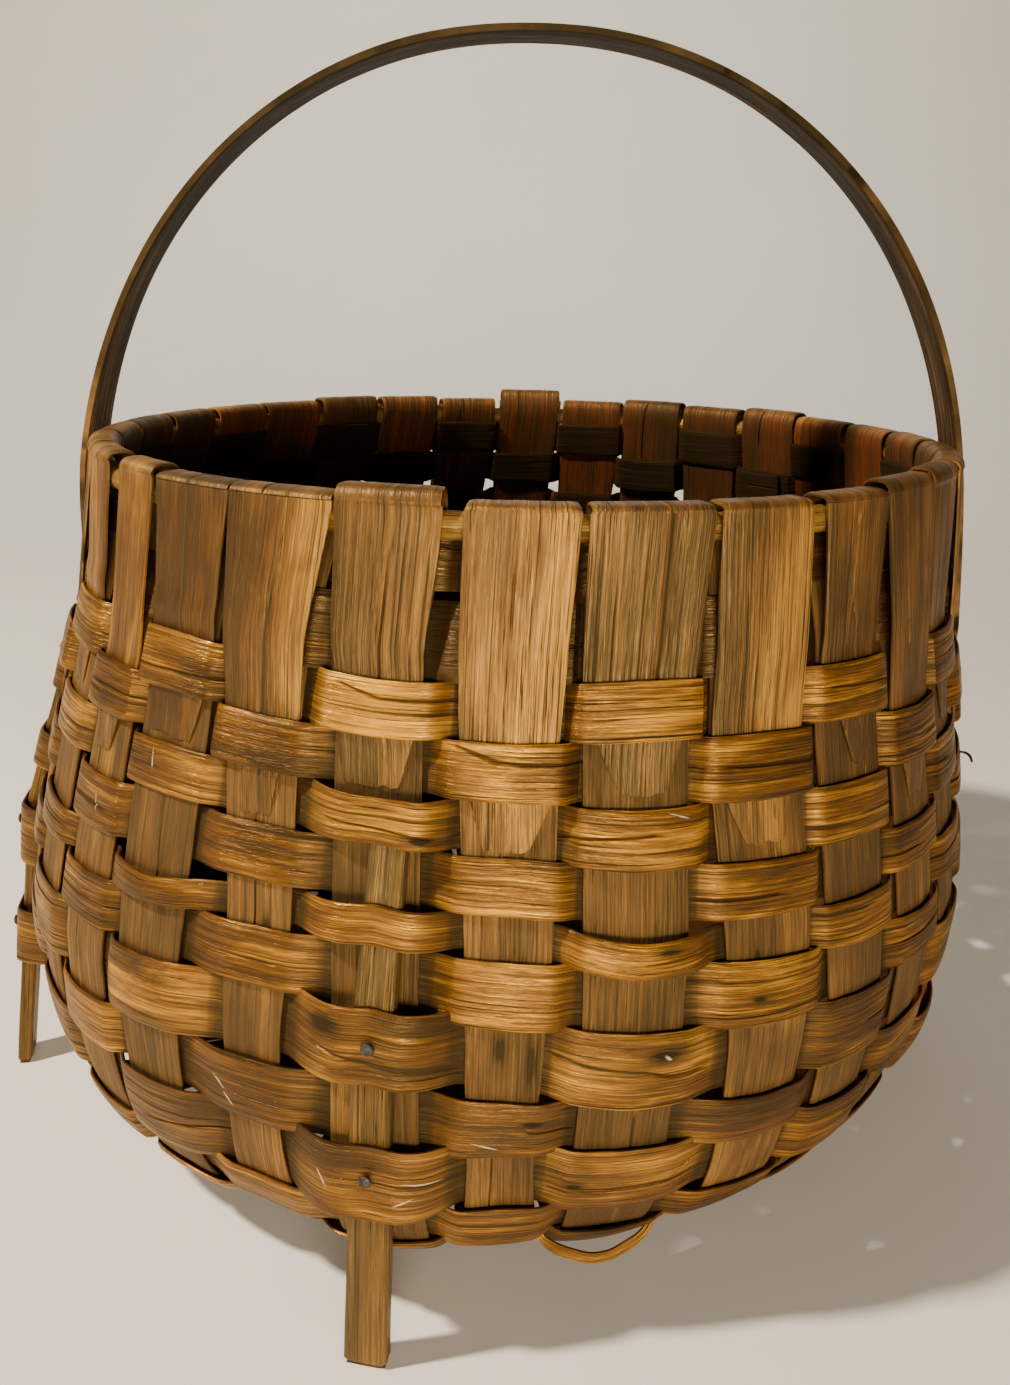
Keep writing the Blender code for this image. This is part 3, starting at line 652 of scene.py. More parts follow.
def tongue_look(stake, rng):
    """Widths and shifts of a tongue at its row's lower edge and at its tip, and its length."""
    spare = (15 + 3 * rng.uniform(-1, 1), 7.5 + 2.5 * rng.uniform(-1, 1), rng.uniform(-1.5, 1.5),
             rng.uniform(-2.5, 2.5), 12.5 + 2 * rng.uniform(-1, 1))
    return np.array(TONGUES.get(shown(stake), spare)) * MM


def fold_place(turn):
    """Outward and upward place on the squarish loop over the rod, for a radius of one."""
    out, up = math.cos(turn), math.sin(turn)
    return math.copysign(abs(out) ** FOLD_POWER, out), math.copysign(abs(up) ** FOLD_POWER, up)


# A step along a stake: on the wall its place is an arc length, on the loop an angle
Station = namedtuple("Station", "looped place offset width shift thickness")


def side_stations(stake, rng):
    """Stations of one stake: tongue, loop over the rod and the run down to the heel."""
    top, bottom = row_edges(tongue_row(stake), stake)
    held_width, tip_width, held_shift, tip_shift, tail = tongue_look(stake, rng)
    if handle_on(stake):
        tail = 6 * MM
    lift = LOOP_LIFTS.get(shown(stake), 0.3 + 1.5 * rng.random() ** 2) * MM
    slope = math.atan2(RADIUS[2] - RADIUS[1], DEPTH[2] - DEPTH[1])
    start = -(FOLD_RADIUS + lift) * fold_place(slope)[1]
    stations = []
    tip = bottom + tail
    for arc in np.r_[tip, tip - 0.0004, np.arange(tip - 0.0014, start, -STEP_ALONG)]:
        down = np.clip((arc - bottom) / tail, 0, 1)
        held = smooth((arc - bottom + TUCK_REACH) / TUCK_REACH)
        full = stake_width(stake, min(arc, bottom))
        width = full + (min(held_width, full) - full) * held
        width += (tip_width - width) * down
        shift = held_shift * held + (tip_shift - held_shift) * down
        fall = np.clip((arc - start) / (top - BEND_CLEAR - start), 0, 1)
        lie = LAYER * (1.02 + 0.9 * smooth((top - arc) / 0.004) * smooth((arc - 0.02) / 0.01))
        offset = np.maximum(2 * FOLD_RADIUS * (1 - fall) + LAYER * fall, 0) + LAYER * (0.02 - 0.43 * down)
        offset = np.maximum(offset, lie * (arc < 0.036))
        stations.append(Station(False, arc, offset, width, shift, 1 - 0.65 * down))
    for turn in np.linspace(slope, math.pi + slope / 3, 27):
        stations.append(Station(True, turn, lift, stake_width(stake, 0), 0, 1))
    for arc in np.arange(1.5 * STEP_ALONG, HEEL_ARC, STEP_ALONG):
        stations.append(Station(False, arc, 0.0, stake_width(stake, arc), 0, 1))
    return stations


def station_rows(stake, stations, places, seed):
    """Points of the stations, their outward directions and their places to the side."""
    rows, outward, sides = [], [], []
    for number, (station, line) in enumerate(zip(stations, places)):
        wander = (edge_wander(number * STEP_ALONG, seed) * np.clip(-line, 0, 1)
                  + edge_wander(number * STEP_ALONG, seed + 5) * np.clip(line, 0, 1))
        side = line * station.width / 2 + station.shift + wander * 0.8
        if station.looped:
            angle = azimuth(stake, 0.0) + side / RIM_RADIUS
            out, up = fold_place(station.place)
            rise = FOLD_RADIUS + station.offset * max(math.sin(station.place), 0) ** 0.7
            rows.append(placed(angle, RIM_RADIUS + FOLD_RADIUS * out, -rise * up))
            outward.append([0, 0, 1.0])
        else:
            middle = azimuth(stake, station.place)
            angle = middle + side / radius_at(station.place)
            ragged = 0.9 * MM * noise(line * 4, 0.5, seed + 31) * max(1 - number / 3, 0)
            rows.append(on_wall(angle, station.place + ragged, station.offset))
            outward.append([math.sin(middle), -math.cos(middle), 0])
        sides.append(side)
    return np.array(rows), np.array(outward, float), np.array(sides)


def base_indices(kind):
    """Places of the base's strips of one kind, in pitches from the middle."""
    return [number - (BASE_COUNTS[kind] - 1) / 2 for number in range(BASE_COUNTS[kind])]


def base_rows(kind, index, v):
    """Points of the flat part of a splint, which weaves over and under the others."""
    others = np.array(base_indices(1 - kind))
    reach = BASE_PITCH * (others[-1] + 0.55)
    along = np.arange(-reach, reach + STEP_ALONG / 2, STEP_ALONG)
    signs = [1 if (round(index * 2) + round(other * 2) + 1) % 4 == 0 else -1 for other in others]
    lift = np.interp(along / BASE_PITCH, others, signs)
    lift = np.sin(lift * math.pi / 2) * 0.55 * LAYER * (1 - 2 * kind)
    turn = even_azimuth(0, BASE_DEPTH)
    x, y = BASE_PITCH * index + v * BASE_WIDTH / 2, along[:, None]
    if kind == 1:
        x, y = y, x
    return stacked(RIM[0] + LEAN * BASE_DEPTH + (x * math.cos(turn) - y * math.sin(turn)),
                   RIM[1] + (x * math.sin(turn) + y * math.cos(turn)),
                   RIM[2] - BASE_DEPTH + lift[:, None])


def joined(before, after):
    """Points of a smooth bend between the last row of one run and the first of the next."""
    start, end = before[-1], after[0]
    length = np.linalg.norm(np.mean(end - start, 0))
    go, come = unit(start - before[-2]) * length, unit(after[1] - end) * length
    count = max(int(length / STEP_ALONG), 2)
    rows = []
    for t in np.linspace(0, 1, count + 1)[1:-1]:
        a, b = 2 * t ** 3 - 3 * t ** 2 + 1, t ** 3 - 2 * t ** 2 + t
        c, d = -2 * t ** 3 + 3 * t ** 2, t ** 3 - t ** 2
        rows.append(a * start + b * go + c * end + d * come)
    return np.array(rows)


# A stretch of a splint, row by row. Its notes are painted shade and dirt, tone, inside, thickness and
# tilt
Run = namedtuple("Run", "points outward sides dark places notes")


def side_run(stake, rng, seed):
    """One end of a splint, from its tongue's tip to the heel, and the knots in it."""
    stations = side_stations(stake, rng)
    cracks = [[(start * MM, spot, wide * MM) for start, spot, wide in crack]
              for crack in STAKE_CRACKS.get(shown(stake), ())]
    places, dark = grooved(np.arange(len(stations)) * STEP_ALONG, RIM_WIDTH, seed + stake, cracks)
    points, outward, sides = station_rows(stake, stations, places, seed + stake)
    looped, place, _, _, _, thickness = np.array(stations, float).T
    passed = np.cumsum(looped) > 0
    # Inside faces get painted shade; over the loop it fades in past the rod's top
    inside = np.where(looped > 0, smooth((place - 1.75) / 1.1), passed * 1.0)
    knots = []
    for knot_stake, arc, *knot in STAKE_KNOTS:
        if (knot_stake - stake) % STAKES == 0:
            row = np.flatnonzero(passed & (looped == 0) & (place < arc * MM))[-1]
            knots.append((row, *knot))
    tone = float(STAKE_TONES.get(shown(stake), 0.6 * noise(stake * 2.7, 0.5, 6)))
    # Painted shade and dirt on the covered run past the loop
    notes = stacked(np.where(passed & (inside >= 1), COVERED_SHADE_AND_DIRT, 0.0), tone, inside, thickness,
                    np.where(passed, 0.0, TONE_TILTS.get(shown(stake), 0.0)))
    return Run(points, outward, sides, dark, places, notes), knots


def flat_run(points, like):
    """A run on the base or round the heel, with the columns and tone of another run."""
    count, places = len(points), like.places[0]
    # Painted shade and dirt on the base and the heel
    notes = np.tile([COVERED_SHADE_AND_DIRT, like.notes[-1, 1], 1.0, 1.0, 0.0], (count, 1))
    return Run(points, np.tile([0, 0, -1.0], (count, 1)), np.tile(places * BASE_WIDTH / 2, (count, 1)),
               np.zeros((count, len(places))), np.tile(places, (count, 1)), notes)


def uncrossed(run, before):
    """A run turned side for side if it would cross over after the row before it."""
    straight = np.linalg.norm(run.points[0] - before, axis=1).sum()
    if straight < np.linalg.norm(run.points[0][::-1] - before, axis=1).sum():
        return run
    return Run(run.points[:, ::-1], run.outward, -run.sides[:, ::-1], run.dark[:, ::-1],
               -run.places[:, ::-1], run.notes)


def splint(kind, number, index):
    """One whole splint from the tip of one tongue to the tip of the other."""
    seed = 1000 + 100 * kind + 13 * number
    rng = np.random.default_rng(seed)
    ends = (index, STAKES / 2 - index) if kind == 0 else (3 * STAKES / 4 - index, STAKES / 4 + index)
    (first, first_knots), (last, last_knots) = [side_run(round(end), rng, seed) for end in ends]
    last = Run(*(part[::-1] for part in last))
    base = base_rows(kind, index, first.places[0])
    heel = first.points[-1].mean(0)
    if np.linalg.norm(base[0].mean(0) - heel) > np.linalg.norm(base[-1].mean(0) - heel):
        base = base[::-1]
    middle = uncrossed(flat_run(base, first), first.points[-1])
    last = uncrossed(last, middle.points[-1])
    bends = [flat_run(joined(a.points, b.points), first) for a, b in ((first, middle), (middle, last))]
    runs = (first, bends[0], middle, bends[1], last)
    grid, outward, sides, dark, v, notes = (np.concatenate(parts) for parts in zip(*runs))
    for _ in range(2):
        grid[1:-1] = (grid[:-2] + 2 * grid[1:-1] + grid[2:]) / 4
    run = lengths_along(grid[:, grid.shape[1] // 2])
    rows = [knot[0] for knot in first_knots] + [len(run) - 1 - knot[0] for knot in last_knots]
    for row, (_, spot, length, wide) in zip(rows, first_knots + last_knots):
        MARKS.append(Mark(run[row], spot * sides[row, -1], seed, length * MM, wide * MM, 0.0, False))
    painted_shade_and_dirt, tone, inside, folded, tilt = notes.T[..., None]
    along = run[:, None]
    tone = tone + tilt * sides * 2 / RIM_WIDTH + 0.4 * noise(along / 0.045, sides / 0.010, seed + 9)
    tone = 0.5 + 0.5 * tone
    # Painted shade and dirt on the covered runs, half as much on their inner faces; cracks dark on both
    return solid_from_grid(
        f"splint_{('long', 'cross')[kind]}_{number}", grid, THICK * edge_profile(v) * folded,
        outward[:, None, :], splint_relief(along, sides, seed) * edge_profile(v) - 0.5 * MM * dark,
        stacked(along, sides, seed), stacked(np.maximum(painted_shade_and_dirt, dark), tone, 0),
        stacked(np.maximum(painted_shade_and_dirt * 0.5, dark), tone, inside))


def rim_rod():
    """A round rod with a slightly uneven line and section."""
    seed, steps, count = 41, 16, 360
    theta = np.linspace(0, TURN, count, endpoint=False)
    radius = RIM_RADIUS + noise(theta * 8, 0.5, 31) * 0.25 * MM
    centres = placed(theta, radius, -noise(theta * 6, 0.5, 32) * 0.25 * MM) - (0, 0, ROD_SINK)
    girth = ROD_RADIUS * (0.97 + 0.04 * noise(theta * 40, 0.5, 33))
    ahead = unit(np.roll(centres, -1, 0) - np.roll(centres, 1, 0))
    side = unit(np.cross(ahead, [0, 0, 1.0]))
    up = np.cross(side, ahead)
    turn = np.linspace(0, TURN, steps, endpoint=False)
    round_it = np.cos(turn)[:, None] * side[:, None] + np.sin(turn)[:, None] * up[:, None]
    rings = centres[:, None] + girth[:, None, None] * round_it
    along = np.arange(count)[:, None] * np.linalg.norm(centres[1] - centres[0])
    grain = stacked(along, turn * girth.mean(), seed)
    faces = ring_faces(count, steps).reshape(-1, 4)[:, ::-1]
    return large_piece("rim_rod", rings.reshape(-1, 3), faces,
                       {"grain": grain, "shade": np.tile([0, 0.5, 0], (count * steps, 1))})


# Loose slivers: piece they belong to, wood, width, and points in millimetres from the rim's centre
SLIVERS = (
    ("sliver_loop", "weaver_12", "weaver_wood", 3.6, (
        (7.6, -157.8, -203.0), (8.1, -159.2, -204.0), (14.3, -156.6, -211.0), (23.1, -156.5, -213.8),
        (29.6, -154.8, -213.8), (37.8, -152.3, -209.4), (41.0, -150.6, -206.0), (40.8, -149.2, -204.8))),
    ("fibre_right", "weaver_06", "weaver_wood", 0.6, (
        (149.6, -51.2, -94.3), (150.5, -51.5, -94.1), (153.1, -51.7, -93.3), (154.9, -52.8, -94.7),
        (153.9, -56.8, -95.6))),
    ("torn_edge", "weaver_07", "rod_wood", 0.8, (
        (-126.2, -111.6, -105.2), (-122.6, -114.4, -107.2), (-119.9, -116.9, -111.1),
        (-108.7, -134.0, -105.4), (-98.9, -134.3, -105.6), (-86.5, -143.7, -101.6),
        (-83.1, -142.6, -100.6))),
)
SLIVER_THICK = 0.0007
SLIVER_SHADE = (0.1, 0.5, 0)


def sliver(name, width, points):
    """A thin loose strip of wood through points, tapering to its ends."""
    points = np.array(points, float)
    seed = 500 + len(points) + int(width * 10)
    parts = lengths_along(points)
    along = np.linspace(0, parts[-1], max(int(parts[-1] / 0.8), 8))
    line = np.stack([np.interp(along, parts, points[:, k]) for k in range(3)], 1)
    for _ in range(12):
        line[1:-1] = (line[:-2] + 2 * line[1:-1] + line[2:]) / 4
    line = line * MM + RIM
    outward = (line - RIM) * (1, 1, 0)
    side = unit(np.cross(unit(np.gradient(line, axis=0)), outward))
    share = np.clip(np.minimum(along, parts[-1] - along) / (0.25 * parts[-1]), 0, 1)
    half = (width * MM / 2 * (0.35 + 0.65 * share ** 0.5))[:, None]
    across = half * np.array([-1, -0.93, -0.5, 0, 0.5, 0.93, 1])
    grid = line[:, None] + side[:, None] * across[..., None]
    return solid_from_grid(name, grid, SLIVER_THICK, outward[:, None], 0,
                           stacked(along[:, None] * MM, across, seed), SLIVER_SHADE, SLIVER_SHADE)


# Handle: half a superellipse fitted to the photograph, relative to the rim's centre
HANDLE_REACH, HANDLE_HEIGHT = 0.1597, 0.177
HANDLE_MIDDLE = (-0.0042, 0.0014, -0.0429)
HANDLE_TURN = math.radians(-3.6)
HANDLE_TILT, HANDLE_SKEW = 0.0285, 0.0147
HANDLE_POWER = 2.11
HANDLE_LOW = -0.004
HANDLE_TIP, HANDLE_TIP_REACH = 0.74, 0.016


def handle_arch():
    """Outer line of the hoop from its right end to its left one."""
    turn = np.linspace(0, math.pi, 240)
    out = np.sign(np.cos(turn)) * np.abs(np.cos(turn)) ** (2 / HANDLE_POWER)
    rise = HANDLE_HEIGHT * np.sin(turn) ** (2 / HANDLE_POWER)
    x = HANDLE_REACH * out + HANDLE_SKEW * rise + HANDLE_MIDDLE[0]
    z = rise + HANDLE_MIDDLE[2]
    y = HANDLE_MIDDLE[1] + HANDLE_TILT * z + x * math.sin(HANDLE_TURN)
    return RIM + stacked(x * math.cos(HANDLE_TURN), y, z)


def handle_tail(stake):
    """Middle line and widths of one end of the hoop behind the weave, from the tip up."""
    cover = handle_cover_row(stake)
    top, bottom = row_edges(cover, stake)
    tip, end = bottom - 0.002, CELLS[cover - 3][1]
    arcs = np.arange(tip, end, -STEP_ALONG)
    behind = (LAYER + GAP + HANDLE_THICK) / 2
    passed = behind + (2 * LAYER if cover - 2 == tongue_row(stake) else LAYER)
    offset = behind + (passed - behind) * smooth((top - arcs) / (top - end))
    width = HANDLE_WIDTH * (HANDLE_TIP + (1 - HANDLE_TIP) * smooth((tip - arcs) / HANDLE_TIP_REACH))
    return on_wall(azimuth(stake, arcs), arcs, offset), width


def handle_side(points):
    """Width direction: level, round the basket at the ends and along Y over the top."""
    away = points - RIM
    side = unit(stacked(-away[:, 1], away[:, 0], 0))
    side = side * np.sign(side[:, 1:2])
    mix = smooth((away[:, 2:] + 0.02) / 0.08)
    return unit(side * (1 - mix) + np.array([0, 1.0, 0]) * mix)


def handle():
    """The hoop and both its ends behind the weave, in one strip."""
    seed = 77
    v = columns(HANDLE_WIDTH, 0.0022)

    def strip(points, width):
        across = v * np.reshape(width, (-1, 1)) / 2
        return points[:, None] + handle_side(points)[:, None] * across[..., None]

    arch = handle_arch()
    above = arch[:, 2] > RIM[2] + HANDLE_LOW
    flat = unit(np.cross(np.gradient(arch, axis=0)[above], [0, 1, 0]))
    flat *= np.sign(np.sum(flat * (arch[above] - RIM), axis=1, keepdims=True))
    middle = strip(arch[above] - flat * HANDLE_THICK / 2, HANDLE_WIDTH)
    right = strip(*handle_tail(HANDLE_STAKE))
    left = strip(*handle_tail(HANDLE_STAKE - STAKES // 2))[::-1]
    grid = np.concatenate([right, joined(right, middle), middle, joined(middle, left), left])
    along = lengths_along(grid[:, len(v) // 2])[:, None]
    side = v * HANDLE_WIDTH / 2
    worn = 2.6 * np.abs(2 * along / along.max() - 1) - 1.35
    shade = stacked(0, 0.5 + 0.5 * (worn + 0.4 * noise(along / 0.1, 4.4, seed)), 0)
    relief = splint_relief(along, side, seed) * 1.5 * edge_profile(v)
    thick, outward = HANDLE_THICK * edge_profile(v, 0.72, 0.12), grid - (RIM + (0, 0, 0.02))
    grain = stacked(along, side, seed)
    return solid_from_grid("handle", grid, thick, outward, relief, grain, shade, shade)


def leg_stick(leg):
    """A whittled stick with flat, uneven faces and a chamfered foot."""
    top, foot, chamfer, flat = depth_at(leg_top_arc(leg)), RIM[2], 0.0022, 0.8
    depth = np.r_[np.arange(top, foot - 0.0025, 0.0025), foot - chamfer, foot - 0.0012, foot][:, None]
    seed = 300 + len(leg.name) * 7 + leg.stake % STAKES
    ring = [(-1, -flat), (-1, 0), (-1, flat)]
    for _ in range(3):
        ring += [(y, -x) for x, y in ring[-3:]]
    ring = np.array(ring, float)
    angle, inner, outer, width = leg_section(leg, depth)
    inset = np.clip((depth - foot + chamfer) / chamfer, 0, 1) * 0.0011
    wander = 0.25 * MM * noise(depth / 0.02, np.arange(len(ring)) * 1.3, seed)
    wander = wander[..., None] * np.sign(ring)
    radial = (inner + outer) / 2 + ring[:, 0] * ((outer - inner) / 2 - inset) + wander[..., 0]
    side = ring[:, 1] * (width / 2 - inset) + wander[..., 1]
    rings = placed(angle + side / radial, radial, depth)
    grain = stacked(depth, lengths_along(ring) * 0.006, seed)
    shade = np.broadcast_to((0.0, 0.5, 0.0), rings.shape)
    caps = ((0, 1), (-1, -1))
    piece = small_piece("leg_" + leg.name, rings, caps, {"grain": grain, "shade": shade})
    bevel = piece.modifiers.new("Edges", "BEVEL")
    bevel.width, bevel.segments, bevel.limit_method = 0.0004, 2, "ANGLE"
    return piece


# Nail heads: radius and height of the rings from the neck up, in millimetres
NAIL_HEAD = ((0.7, -0.45), (1.6, -0.4), (1.9, -0.2), (1.75, 0.1), (1.3, 0.38), (0.7, 0.56), (0.0, 0.62))
NAIL_INSET = 0.001


def nail(leg, row):
    """A hand-struck nail, its head slightly domed and dented, its shank in the leg."""
    top, bottom = row_edges(row, leg.stake)
    depth = depth_at(top + NAIL_PLACE * (bottom - top))
    angle, inner, outer, _ = leg_section(leg, depth)
    face = outer + 2 * LAYER + GAP
    outward = np.array([math.sin(angle), -math.cos(angle), 0])
    side = np.array([math.cos(angle), math.sin(angle), 0])
    centre = placed(angle, face, depth)
    turn = np.linspace(0, TURN, 20, endpoint=False)[:, None]
    around = side * np.cos(turn) + np.array([0, 0, 1]) * np.sin(turn)
    rings = [centre + around * NAIL_HEAD[0][0] * MM - outward * (face - inner - NAIL_INSET)]
    for radius, height in NAIL_HEAD:
        dent = 1 + 0.06 * noise(turn * 1.4, radius, row + leg.stake + 60)
        rings.append(centre + (around * radius + outward * height) * dent * MM)
    piece = small_piece(f"nail_{leg.name}_{row:02d}", np.array(rings), ((0, -1),), {})
    piece.data.shade_smooth()
    return piece


# Materials

class Graph:
    """Short calls for building a node tree."""

    def __init__(self, name):
        self.material = bpy.data.materials.new(name)
        self.material.use_nodes = True
        self.tree = self.material.node_tree
        self.shader = self.tree.nodes["Principled BSDF"]

    def node(self, kind, inputs, **settings):
        made = self.tree.nodes.new(kind)
        for key, value in settings.items():
            setattr(made, key, value)
        for key, value in inputs.items():
            self.put(made.inputs[key], value)
        return made

    def put(self, socket, value):
        if isinstance(value, bpy.types.NodeSocket):
            self.tree.links.new(value, socket)
        elif socket.type == "RGBA":
            socket.default_value = (*value, 1)
        else:
            socket.default_value = value

    def math(self, operation, a, b, clamp=False):
        return self.node("ShaderNodeMath", {0: a, 1: b}, operation=operation, use_clamp=clamp).outputs[0]

    def most(self, *values):
        """The highest of several values."""
        found = values[0]
        for value in values[1:]:
            found = self.math("MAXIMUM", found, value)
        return found

    def weigh(self, start, *terms):
        """A start and terms of (value, weight), each value counted from its middle, 0.5."""
        for value, weight in terms:
            off = self.math("SUBTRACT", value, 0.5)
            start = self.math("ADD", start, self.math("MULTIPLY", off, weight))
        return start

    def vector(self, operation, a, b, output="Vector"):
        return self.node("ShaderNodeVectorMath", {0: a, 1: b}, operation=operation).outputs[output]

    def mix(self, share, a, b, blend="MIX"):
        made = self.node("ShaderNodeMix", {}, data_type="RGBA", blend_type=blend)
        for key, value in ((0, share), (6, a), (7, b)):
            self.put(made.inputs[key], value)
        return made.outputs[2]

    def ramp(self, value, stops):
        made = self.node("ShaderNodeValToRGB", {0: value})
        band = made.color_ramp
        while len(band.elements) < len(stops):
            band.elements.new(0.5)
        for element, (place, colour) in zip(band.elements, stops):
            element.position, element.color = place, (*colour, 1)
        return made.outputs[0]

    def noise(self, vector, scale, detail, rough, distort=0.0):
        return self.node("ShaderNodeTexNoise", {"Vector": vector, "Scale": scale, "Detail": detail,
                                                "Roughness": rough, "Distortion": distort}).outputs["Fac"]

    def span(self, value, low, high, to_low, to_high):
        """A value's place between low and high, as a value between two others."""
        return self.node("ShaderNodeMapRange", {0: value, 1: low, 2: high, 3: to_low, 4: to_high},
                         clamp=True).outputs[0]

    def bump(self, height, strength, distance):
        return self.node("ShaderNodeBump", {"Strength": strength, "Distance": distance,
                                            "Height": height}).outputs[0]

    def surface(self, inputs):
        """The material, once its shader has these inputs."""
        for key, value in inputs.items():
            self.put(self.shader.inputs[key], value)
        return self.material


# Colours from bright to dark along the grain; an aged grey-brown for low tones and for painted shade and
# dirt; black in grooves, in cracks and as painted shadow where weavers pass under stakes
WOODS = {
    "splint_wood": dict(
        gold=(0.46, 0.215, 0.028), honey=(0.135, 0.050, 0.008), brown=(0.038, 0.0125, 0.002),
        aged_and_shaded=(0.070, 0.037, 0.014), groove=(0.006, 0.0025, 0.001), gloss=0.40, contrast=0.45, sheen=0.15),
    "weaver_wood": dict(
        gold=(0.72, 0.335, 0.026), honey=(0.160, 0.057, 0.005), brown=(0.034, 0.0105, 0.0015),
        aged_and_shaded=(0.055, 0.026, 0.009), groove=(0.005, 0.002, 0.001), gloss=0.28, contrast=0.75, sheen=0.45),
    "rod_wood": dict(
        gold=(0.42, 0.225, 0.036), honey=(0.24, 0.118, 0.016), brown=(0.10, 0.042, 0.007),
        aged_and_shaded=(0.2, 0.12, 0.05), groove=(0.04, 0.02, 0.008), gloss=0.36, contrast=0.5, sheen=0.1),
    "handle_wood": dict(
        gold=(0.30, 0.145, 0.046), honey=(0.055, 0.026, 0.008), brown=(0.008, 0.0035, 0.001),
        aged_and_shaded=(0.02, 0.011, 0.006), groove=(0.003, 0.002, 0.001), gloss=0.60, contrast=0.5, sheen=0,
        shine=0.4),
    "stick_wood": dict(
        gold=(0.26, 0.115, 0.014), honey=(0.085, 0.035, 0.005), brown=(0.026, 0.010, 0.002),
        aged_and_shaded=(0.08, 0.048, 0.02), groove=(0.006, 0.002, 0.001), gloss=0.40, contrast=0.7, sheen=0.1),
}
# Painted shade: inside faces are multiplied by this colour, darker and redder, over the wood's own darker
# aged inside
PAINTED_INSIDE_SHADE = (0.48, 0.15, 0.10)
SCRATCH_COLOUR = (0.62, 0.50, 0.34)
VARNISH_TINT = (1.0, 0.70, 0.26)


def wood(name, marks, gold, honey, brown, aged_and_shaded, groove, gloss, contrast, sheen, shine=1.0):
    """Varnished wood with streaks along the grain, duller with painted shade and dirt, and darker inside
    with painted shade.
    """
    g = Graph(name)
    grain, shade = (g.node("ShaderNodeAttribute", {}, attribute_name=key).outputs["Vector"]
                    for key in ("grain", "shade"))
    painted_shade_and_dirt, tone, inside = g.node("ShaderNodeSeparateXYZ", {0: shade}).outputs

    def streaks(along, across, detail, rough, wave):
        return g.noise(g.vector("MULTIPLY", grain, (along, across, 1.37)), 1.0, detail, rough, wave)

    bands = streaks(8, 210, 3.0, 0.55, 0.7)
    fine = streaks(34, 1300, 4.0, 0.66, 0.3)
    fibres = streaks(150, 3200, 2.0, 0.6, 0.2)
    pores = streaks(60, 2600, 2.0, 0.6, 0.1)
    cloud = streaks(20, 60, 3.0, 0.6, 0.8)
    value = g.weigh(0.5, (bands, 0.45), (fine, contrast), (fibres, 0.2), (tone, 0.40), (cloud, 0.6))
    colour = g.ramp(value, [(0.35, brown), (0.54, honey), (0.80, gold)])
    patches = g.span(streaks(16, 240, 2.0, 0.5, 0.2), 0.45, 0.65, 0.0, 1.0)
    lines = g.math("MULTIPLY", g.span(pores, 0.33, 0.44, 1.0, 0.0), g.math("ADD", patches, 0.25, True))
    seams = g.span(streaks(10, 700, 1.0, 0.4, 0.15), 0.32, 0.285, 0.0, 0.8)
    threads = g.span(streaks(13, 1900, 1.0, 0.5, 0.12), 0.40, 0.34, 0.0, 0.75)
    for dark in (g.math("MULTIPLY", lines, 0.95), seams, threads):
        colour = g.mix(dark, colour, groove)
    hollow = g.most(lines, seams, threads)
    dull = g.mix(0.55, colour, g.ramp(value, [(0.35, tuple(c * 0.5 for c in aged_and_shaded)), (0.62, aged_and_shaded)]))
    grey = g.span(tone, 0.36, 0.0, 0.0, 0.4)
    # Painted shade and dirt dull the wood and low tones grey it; the strongest painted shade, where
    # weavers pass under stakes, goes nearly black, as cracks do
    colour = g.mix(g.most(g.math("MULTIPLY", painted_shade_and_dirt, 0.9), grey), colour, dull)
    colour = g.mix(g.span(painted_shade_and_dirt, 0.8, 1.0, 0.0, 0.8), colour, groove)
    # Painted shade: inside faces multiplied darker and redder
    colour = g.mix(inside, colour, g.mix(1.0, colour, PAINTED_INSIDE_SHADE, "MULTIPLY"))
    swirl = g.math("MULTIPLY", g.math("SUBTRACT", fine, 0.5), 2.0)
    for mark in marks:
        off = g.vector("SUBTRACT", grain, (mark.along, mark.across, mark.seed))
        cosine, sine = math.cos(mark.slant) * 2, math.sin(mark.slant) * 2
        rows = ((cosine / mark.length, sine / mark.length, 0),
                (-sine / mark.width, cosine / mark.width, 0), (0, 0, 100))
        parts = {k: g.vector("DOT_PRODUCT", off, row, "Value") for k, row in enumerate(rows)}
        spot = g.node("ShaderNodeCombineXYZ", parts).outputs[0]
        far = g.vector("LENGTH", spot, (0, 0, 0), "Value")
        near = g.span(g.math("ADD", far, swirl), 0.6, 1.2, 0.9, 0.0)
        if mark.scratch:
            colour = g.mix(near, colour, SCRATCH_COLOUR)
        else:
            colour = g.mix(g.span(far, 0.8, 2.4, 0.8, 0.0), colour, brown)
            colour = g.mix(near, colour, groove)
            hollow = g.most(hollow, near)
    rough = g.span(fine, 0.35, 0.65, gloss + 0.2, gloss - 0.06)
    for dulled, weight in ((painted_shade_and_dirt, 0.3), (inside, 0.2)):
        rough = g.math("ADD", rough, g.math("MULTIPLY", dulled, weight))
    rough = g.most(rough, hollow)
    height = g.math("ADD", g.math("MULTIPLY", fine, 0.7), g.math("MULTIPLY", bands, 0.5))
    cuts = g.math("ADD", g.math("MULTIPLY", lines, 0.15), g.math("MULTIPLY", seams, 0.4))
    # Fibres under old varnish reflect in the wood's own colour, hence Metallic
    return g.surface({
        "Base Color": colour, "Roughness": rough, "Metallic": sheen, "IOR": 1.5,
        "Specular IOR Level": shine, "Specular Tint": VARNISH_TINT,
        "Normal": g.bump(g.math("SUBTRACT", height, cuts), 0.9, 0.0006)})


